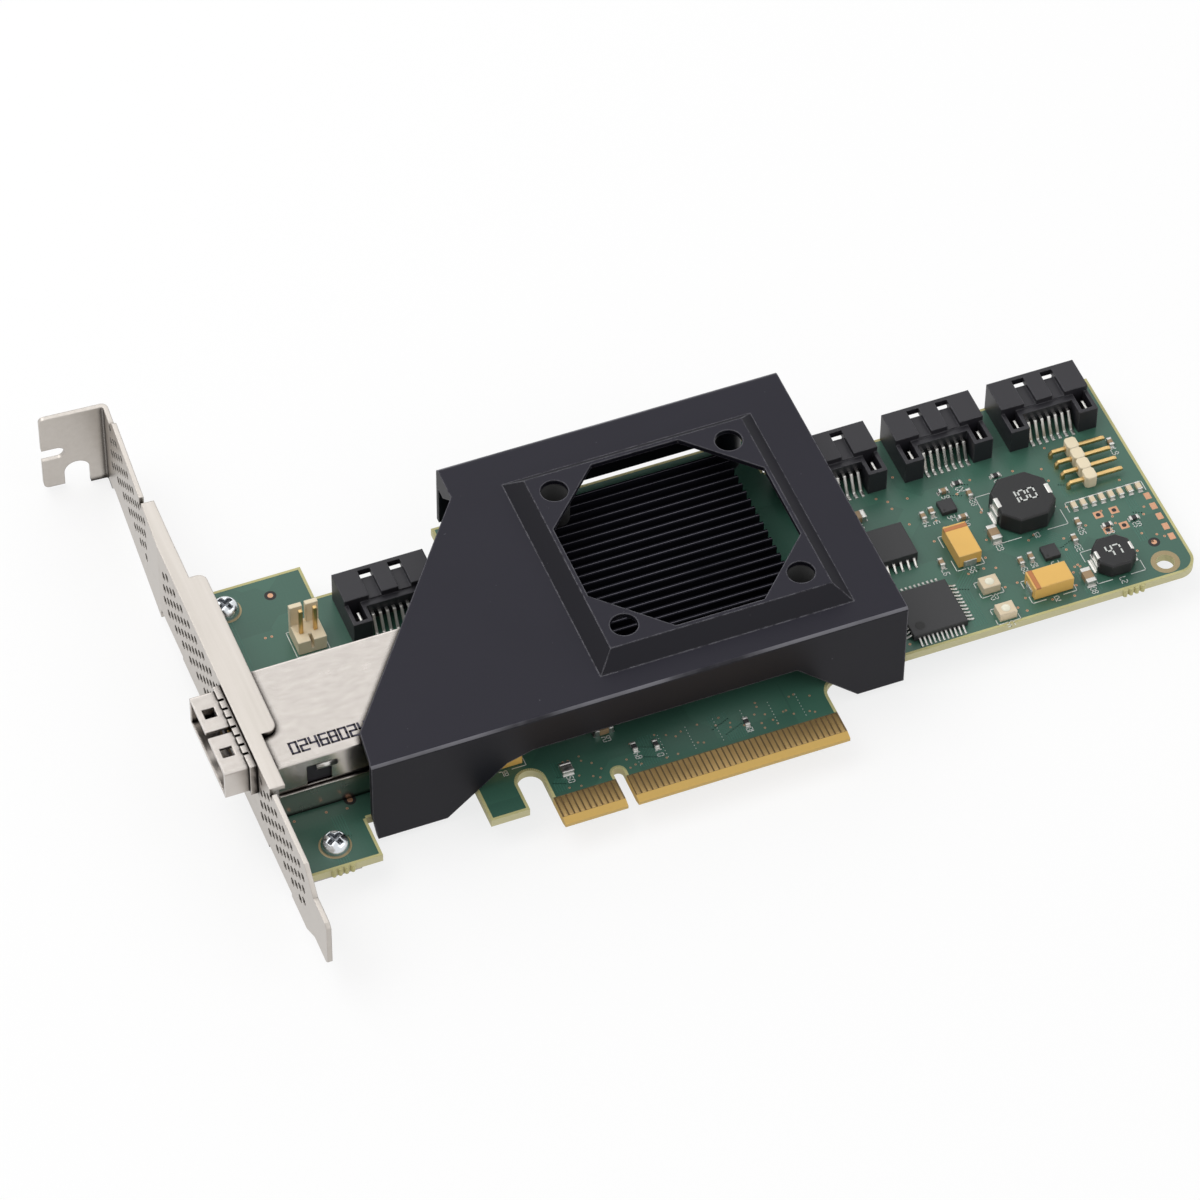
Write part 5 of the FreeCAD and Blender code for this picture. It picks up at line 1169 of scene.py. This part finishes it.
@dataclass
class Traces(Detail):
    """Tracks under the mask, raised a little and lighter than the mask round them.

    Attributes:
        width: Track width.
        gap: Distance between neighbouring tracks.
        rise: Height over the board.
    """

    width: float = 0.2 * MM
    gap: float = 0.45 * MM
    rise: float = 0.012 * MM

    def bus(self, stock: MeshStock, start: tuple[float, float], run: float, jog: float,
            tail: float, count: int) -> None:
        """Add parallel tracks: a run up the board, a jog at 45 degrees, and a tail.

        Each track's corner moves back by half its place in the bus, so the gap stays even.

        Args:
            stock: Where the tracks go.
            start: First track's foot, in millimetres.
            run: Length of the first straight, in millimetres.
            jog: Sideways travel of the slanted part.
            tail: Length of the last straight.
            count: Number of tracks.
        """
        index = np.arange(count)
        x = start[0] * MM + index * self.gap
        y = np.full(count, start[1] * MM)
        lag = -math.copysign(0.41, jog) * index * self.gap
        first = np.stack([x, y], axis=1)
        bend = np.stack([x, y + run * MM + lag], axis=1)
        knee = bend + np.array([jog, abs(jog)]) * MM
        last = np.stack([knee[:, 0], np.full(count, y[0] + (run + abs(jog) + tail) * MM)], axis=1)
        for a, b in ((first, bend), (bend, knee), (knee, last)):
            stock.add(*strips(a, b, self.width, 0.0, self.rise))

    def build(self) -> None:
        """Make the buses that show on the open parts of the board."""
        stock = MeshStock()
        for start, run, jog, tail, count in (
                ((55.5, 41.0), 2.0, -3.0, 1.5, 9), ((68.5, 14.6), 9.0, 3.5, 6.0, 6),
                ((76.5, 42.0), 1.5, 2.0, 1.5, 5), ((89.5, 14.6), 11.0, -4.0, 3.0, 7),
                ((95.0, 36.0), 3.0, 2.0, 4.0, 6), ((-53.0, 41.0), 6.0, 2.5, 12.0, 4),
                ((-20.0, 41.5), 2.0, -2.0, 2.0, 8), ((-50.0, 5.6), 3.5, 2.0, 4.0, 5),
                ((4.0, 6.6), 2.4, 1.6, 2.0, 9), ((20.0, 6.6), 1.4, -1.8, 2.8, 8),
                ((-11.0, 6.6), 2.0, 1.0, 3.0, 5), ((103.0, 22.0), 5.0, 1.5, 8.0, 4)):
            self.bus(stock, start, run, jog, tail, count)
        self.make(stock, "masked_tracks", "traced_mask", "board")


@dataclass
class ChipEnds(Detail):
    """Metal caps on both ends of the small two-ended parts.

    Attributes:
        share: Share of the part's length that a cap covers.
        skin: How far a cap stands over the part.
        pad: How far the solder pad runs past the part.
    """

    share: float = 0.24
    skin: float = 0.03 * MM
    pad: float = 0.3 * MM

    def build(self) -> None:
        """Make one piece of caps for each node of two-ended parts."""
        for node in ("chip_capacitors", "ceramic_capacitors", "chip_resistors",
                     "underside_capacitors", "status_lamps", "board_fuse"):
            stock = MeshStock()
            share = 0.55 * self.share if node == "status_lamps" else self.share
            for low, high in islands(node):
                axis = long_axis(low, high)
                reach = share * (high[axis] - low[axis])
                near, far = low[axis] + reach, high[axis] - reach
                base, crown = low - self.skin, high + self.skin
                if low[2] > -0.5 * MM:
                    foot, top = low.copy(), high.copy()
                    top[2] = low[2] + 0.04 * MM
                    foot[axis] -= self.pad
                    top[axis] += self.pad
                    stock.add(*end_slabs(foot, top, axis, near, far))
                    base[2] = low[2]
                else:
                    crown[2] = high[2]
                stock.add(*end_slabs(base, crown, axis, near, far))
            self.make(stock, f"{node}_ends", "tinned_lead", "tin")


@dataclass
class PanScrews(Detail):
    """Domed screw heads with a cross recess, on the two bracket feet.

    Attributes:
        sides: Points round a head.
        rings: Rings from rim to crown.
        recess: Depth of the cross.
    """

    sides: int = 96
    rings: int = 40
    recess: float = 1.1 * MM

    def head(self, radius: float, rise: float) -> tuple[np.ndarray, np.ndarray, np.ndarray]:
        """One head about the origin.

        The dome's height at a share u of the radius is rise times (1 - u to the 3.4) to the 0.55.
        The cross takes away the recess where the point lies in one of two bars, with soft walls
        and a floor that rises outwards.

        Args:
            radius: Head radius.
            rise: Head height.

        Returns:
            Points, faces and the depth mask that paints shade into the recess.
        """
        share = np.linspace(1.0, 0.0, self.rings)[:, None]
        turn = np.linspace(0, 2 * math.pi, self.sides, endpoint=False)[None, :]
        x, y = radius * share * np.cos(turn), radius * share * np.sin(turn)
        dome = rise * (1 - share ** 3.4) ** 0.55
        thin, long = (np.clip((size * radius - np.abs([x, y])) / (0.06 * radius) + 0.5, 0, 1)
                      for size in (0.16, 0.6))
        cross = np.minimum(thin, long[::-1]).max(axis=0)
        height = dome - cross * self.recess * (1 - 0.5 * np.hypot(x, y) / radius)
        points = np.stack([x, y, height], axis=2).reshape(-1, 3)
        return points, grid_faces(self.rings, self.sides, True), cross.ravel()

    def build(self) -> None:
        """Make both screws, head and shank, in place of the plain ones."""
        stock, recess_shade_masks = MeshStock(), []
        turned = np.array(Matrix.Rotation(0.5, 3, "Z")).T
        for low, high in islands("bracket_screws"):
            centre = (low + high) / 2
            radius = (high[0] - low[0]) / 2
            points, faces, mask = self.head(radius, high[2])
            stock.add(points @ turned + np.array([centre[0], centre[1], 0.0]), faces)
            shank = np.array([(0.0, low[2]), (1.4 * MM, low[2]), (1.4 * MM, 0.0), (radius, 0.0),
                              (radius, 0.02 * MM)])
            stock.add(*lathe(shank, (centre[0], centre[1], 0.0), self.sides))
            # The head's recess mask paints shade; the shank gets none.
            recess_shade_masks += [mask, np.zeros(len(shank) * self.sides)]
        piece = self.make(stock, "pan_screws", "bright_screw", "screw_metal", True,
                           np.concatenate(recess_shade_masks))
        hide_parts("bracket_screws")


def soften(piece: bpy.types.Object, width: float) -> None:
    """Round a piece's rims with a bevel in two steps."""
    bevel = piece.modifiers.new("soft_rim", "BEVEL")
    bevel.width, bevel.segments = width, 2


@dataclass
class Fittings(Detail):
    """Header blocks, choke clips, the spring in the cage window, screw bosses and edge nubs."""

    def header(self, cut: float = 0.42 * MM) -> None:
        """Four joined blocks with cut corners in place of the plain header body.

        Args:
            cut: Size of the corner cuts.
        """
        low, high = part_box("light_header")
        pitch = (high.y - low.y) / 4
        stock = MeshStock()
        across, up = np.array([(cut, 0.0), (0.0, cut)])
        cuts = np.array([up, across, -across, up, -up, -across, across, -up])
        for place in range(4):
            y1, y2 = low.y + place * pitch, low.y + (place + 1) * pitch
            corners = np.array([(low.x, y1), (high.x, y1), (high.x, y2), (low.x, y2)])
            stock.prism(corners.repeat(2, axis=0) + cuts, low.z, high.z)
        piece = self.make(stock, "header_blocks", "header_nylon", "header_plastic")
        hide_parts("light_header")
        soften(piece, 0.12 * MM)

    def clips(self) -> None:
        """Bright clips that fold over the tops of the two chokes."""
        stock = MeshStock()
        for node, half, deep in (("power_inductor", 1.15 * MM, 0.85 * MM),
                                 ("small_inductor", 0.9 * MM, 0.6 * MM)):
            low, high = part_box(node)
            middle = (low.y + high.y) / 2
            for start, stop in ((low.x - 0.05 * MM, low.x + deep),
                                (high.x - deep, high.x + 0.05 * MM)):
                stock.add(*slabs(np.array([(start, middle - half, high.z - 1.9 * MM)]),
                                 np.array([(stop, middle + half, high.z + 0.04 * MM)])))
        soften(self.make(stock, "choke_clips", "tinned_lead", "tin"), 0.15 * MM)

    def spring(self) -> None:
        """Folded spring tab that shows in the window of the cage's side.

        The tab is a strip bent as a half wave: depth = 0.28 mm * sin(pi v) over its height v.
        """
        low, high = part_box("external_port_cage")
        u, v = np.meshgrid(np.linspace(0, 1, 2), np.linspace(0, 1, 12))
        x = low.x + 15.3 * MM + 3.6 * MM * u
        y = low.y - 0.05 * MM - 0.28 * MM * np.sin(math.pi * v)
        z = high.z - 3.4 * MM + 1.3 * MM * v
        stock = MeshStock()
        stock.add(np.stack([x, y, z], axis=2).reshape(-1, 3), grid_faces(12, 2, False))
        piece = self.make(stock, "cage_spring", "tinned_lead", "cage_metal", True)
        piece.modifiers.new("sheet", "SOLIDIFY").thickness = 0.2 * MM

    def bosses(self, spacing: float = 16.0 * MM) -> None:
        """Blind sleeves under two of the cover's screw holes, dark with painted shade.

        Args:
            spacing: Half the distance between the holes.
        """
        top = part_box("cooling_cover")[1].z
        stock = MeshStock()
        outer, inner, mouth, floor = 2.7 * MM, 2.45 * MM, top - 1.05 * MM, top - 6.3 * MM
        foot = floor - 0.3 * MM
        profile = np.array([(0.0, foot), (outer, foot), (outer, mouth), (inner, mouth),
                            (inner, floor), (0.0, floor)])
        x, y = (value * MM for value in FAN_CENTRE)
        for side in (-1, 1):
            stock.add(*lathe(profile, (x + side * spacing, y - side * spacing, 0.0), 40))
        # The sleeves take the dark material as painted shade.
        self.make(stock, "screw_bosses", "dark_hole", "cover_plastic", True)

    def nubs(self) -> None:
        """Small cut-off nubs where the board was broken from its panel."""
        low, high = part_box("circuit_board")
        stock = MeshStock()
        turn = np.linspace(math.pi, 2 * math.pi, 9)
        radius, pitch, sunk = 0.42 * MM, 1.1 * MM, 0.05 * MM
        for x, y in NUBS:
            for place in range(4):
                centre, edge = x * MM + (place - 1.5) * pitch, y * MM
                arc = np.column_stack([centre + radius * np.cos(turn),
                                       edge + 1.2 * radius * np.sin(turn)])
                back = np.array([(centre + radius, edge + sunk), (centre - radius, edge + sunk)])
                stock.prism(np.concatenate([arc, back]), low.z + 0.05 * MM, high.z - 0.02 * MM)
        self.make(stock, "panel_nubs", "cut_laminate", "board")

    def build(self) -> None:
        """Make all the fittings."""
        for make in (self.header, self.clips, self.spring, self.bosses, self.nubs):
            make()


@dataclass
class Marks(Detail):
    """Moulded pin-one dots, the bars on the tantalum cases, and lamp windows.

    Attributes:
        skin: How far a mark stands over its part.
    """

    skin: float = 0.02 * MM

    def build(self) -> None:
        """Make the marks."""
        dots = MeshStock()
        for node in ("flash_chip", "logic_chip", "memory_chips", "regulator_chips"):
            for low, high in islands(node):
                radius = 0.09 * (high[0] - low[0])
                x, y = low[0] + 2.1 * radius, low[1] + 2.1 * radius
                profile = np.array([(radius, high[2] - self.skin), (radius, high[2] + self.skin),
                                    (0.0, high[2] + self.skin)])
                dots.add(*lathe(profile, (x, y, 0.0), 24))
        self.make(dots, "chip_dots", "dark_hole", "chip_plastic")
        bars, windows = MeshStock(), MeshStock()
        for low, high in islands("tantalum_capacitors"):
            axis = long_axis(low, high)
            base, crown = low.copy(), high.copy()
            base[2], crown[2] = high[2] - 0.3 * MM, high[2] + self.skin
            base[1 - axis] -= self.skin
            crown[1 - axis] += self.skin
            length = high[axis] - low[axis]
            base[axis] = low[axis] + (0.84 if axis else 0.04) * length
            crown[axis] = base[axis] + 0.12 * length
            bars.add(*slabs(base[None], crown[None]))
        self.make(bars, "tantalum_bars", "marking_bar", "tantalum")
        for low, high in islands("beacon_lamps"):
            centre = (low + high) / 2
            radius = 0.32 * min(high[0] - low[0], high[1] - low[1])
            bulge = np.linspace(0, math.pi / 2, 8)
            profile = np.column_stack([radius * np.cos(bulge),
                                       high[2] + 0.25 * MM * np.sin(bulge)])
            windows.add(*lathe(profile, (centre[0], centre[1], 0.0), 32))
        self.make(windows, "lamp_windows", "lamp_window", "lamp", True)


# ---------------------------------------------------------------- studio
@dataclass(frozen=True)
class SoftBox:
    """A soft rectangular lamp that looks at the card.

    Attributes:
        name: Lamp name.
        place: Where it hangs, in metres.
        size: Its width and height.
        power: Its power in watts.
    """

    name: str
    place: tuple[float, float, float]
    size: tuple[float, float]
    power: float

    def build(self, aim: Vector) -> None:
        """Hang the lamp so that it looks at a point."""
        light = bpy.data.lights.new(self.name, "AREA")
        light.shape = "RECTANGLE"
        light.size, light.size_y = self.size
        light.energy = self.power
        lamp = bpy.data.objects.new(self.name, light)
        lamp.location = self.place
        lamp.rotation_euler = (aim - Vector(self.place)).to_track_quat("-Z", "Y").to_euler()
        bpy.context.scene.collection.objects.link(lamp)


@dataclass
class Studio:
    """White table, world, lamps and the camera.

    Attributes:
        camera_place: Camera position in metres.
        camera_aim: Point on the board's top face that the camera looks at.
        camera_roll: Turn about the view direction, in degrees.
        lens: Focal length in millimetres for a 36 mm sensor.
        table: Half-width of the table.
    """

    camera_place: tuple[float, float, float] = (-0.25109, -0.60209, 0.81084)
    camera_aim: tuple[float, float, float] = (0.01107, 0.0433, 0.0)
    camera_roll: float = 0.688
    lens: float = 187.67
    table: float = 4.0

    def build(self) -> None:
        """Build the whole studio."""
        self._table()
        self._world()
        aim = Vector(self.camera_aim)
        for box in (SoftBox("key_softbox", (-0.55, 0.45, 1.2), (1.4, 1.0), 9.5),
                    SoftBox("fill_softbox", (0.8, -0.7, 0.9), (1.2, 1.2), 3.6),
                    SoftBox("back_softbox", (0.2, 1.3, 0.7), (1.6, 0.7), 3.4)):
            box.build(aim)
        self._camera(aim)

    def _table(self) -> None:
        """White table that keeps the card's soft shadow and reads as white to the camera."""
        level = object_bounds()[0][2] - 0.02 * MM
        corners = self.table * np.array([(-1, -1, 0), (1, -1, 0), (1, 1, 0), (-1, 1, 0)], float)
        mesh = bpy.data.meshes.new("table_top")
        mesh.from_pydata(corners + np.array([0, 0, level]), [], [(0, 1, 2, 3)])
        material = bpy.data.materials.new("white_table")
        material.use_nodes = True
        wire = Wiring(material.node_tree)
        nodes = material.node_tree.nodes
        shader = nodes["Principled BSDF"]
        wire.feed(shader.inputs, {"Base Color": (0.96, 0.96, 0.96, 1.0), "Roughness": 0.6,
                                  "Specular IOR Level": 0.2})
        path = wire.add("LightPath")
        seen = wire.maths("MAXIMUM", path["Is Camera Ray"], path["Is Glossy Ray"])
        blend = wire.add("MixShader", {"Fac": wire.times(seen, 0.78), 1: shader.outputs[0],
                                       2: wire.add("Emission", {"Strength": 1.0})[0]})
        wire.feed(nodes["Material Output"].inputs, {"Surface": blend[0]})
        mesh.materials.append(material)
        table = bpy.data.objects.new("table_top", mesh)
        bpy.context.scene.collection.objects.link(table)
        table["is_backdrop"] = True

    @staticmethod
    def _world() -> None:
        """Pale room light, plain white where the camera or a reflection sees it."""
        world = bpy.data.worlds.new("white_room")
        bpy.context.scene.world = world
        world.use_nodes = True
        wire = Wiring(world.node_tree)
        path = wire.add("LightPath")
        seen = wire.maths("MAXIMUM", path["Is Camera Ray"],
                          wire.maths("MAXIMUM", path["Is Glossy Ray"],
                                     path["Is Transmission Ray"]))
        wire.feed(world.node_tree.nodes["Background"].inputs, {
            "Color": (1.0, 1.0, 1.0, 1.0), "Strength": wire.maths("MULTIPLY_ADD", seen, 0.5, 0.5)})

    def _camera(self, aim: Vector) -> None:
        """Place the camera so that it looks at a point."""
        data = bpy.data.cameras.new("view_camera")
        data.sensor_width = 36.0
        data.lens = self.lens
        data.clip_end = 20.0
        camera = bpy.data.objects.new("view_camera", data)
        facing = (aim - Vector(self.camera_place)).to_track_quat("-Z", "Y").to_matrix().to_4x4()
        rolled = facing @ Matrix.Rotation(math.radians(self.camera_roll), 4, "Z")
        camera.matrix_world = Matrix.Translation(self.camera_place) @ rolled
        bpy.context.scene.collection.objects.link(camera)
        bpy.context.scene.camera = camera
        bpy.context.scene.view_settings.view_transform = "Standard"


def main() -> None:
    """Dress the card, add its details, and set up the studio."""
    logging.basicConfig(level=logging.INFO, format="%(name)s: %(message)s")
    finishes = Finishes(Effects())
    finishes.dress_frame()
    for kind in (BoardPrint, Copper, Traces, ChipEnds, PanScrews, Fittings, Marks):
        kind(finishes.by_name).build()
        LOG.info("%s finished", kind.__name__)
    Studio().build()


if __name__ == "__main__":
    main()
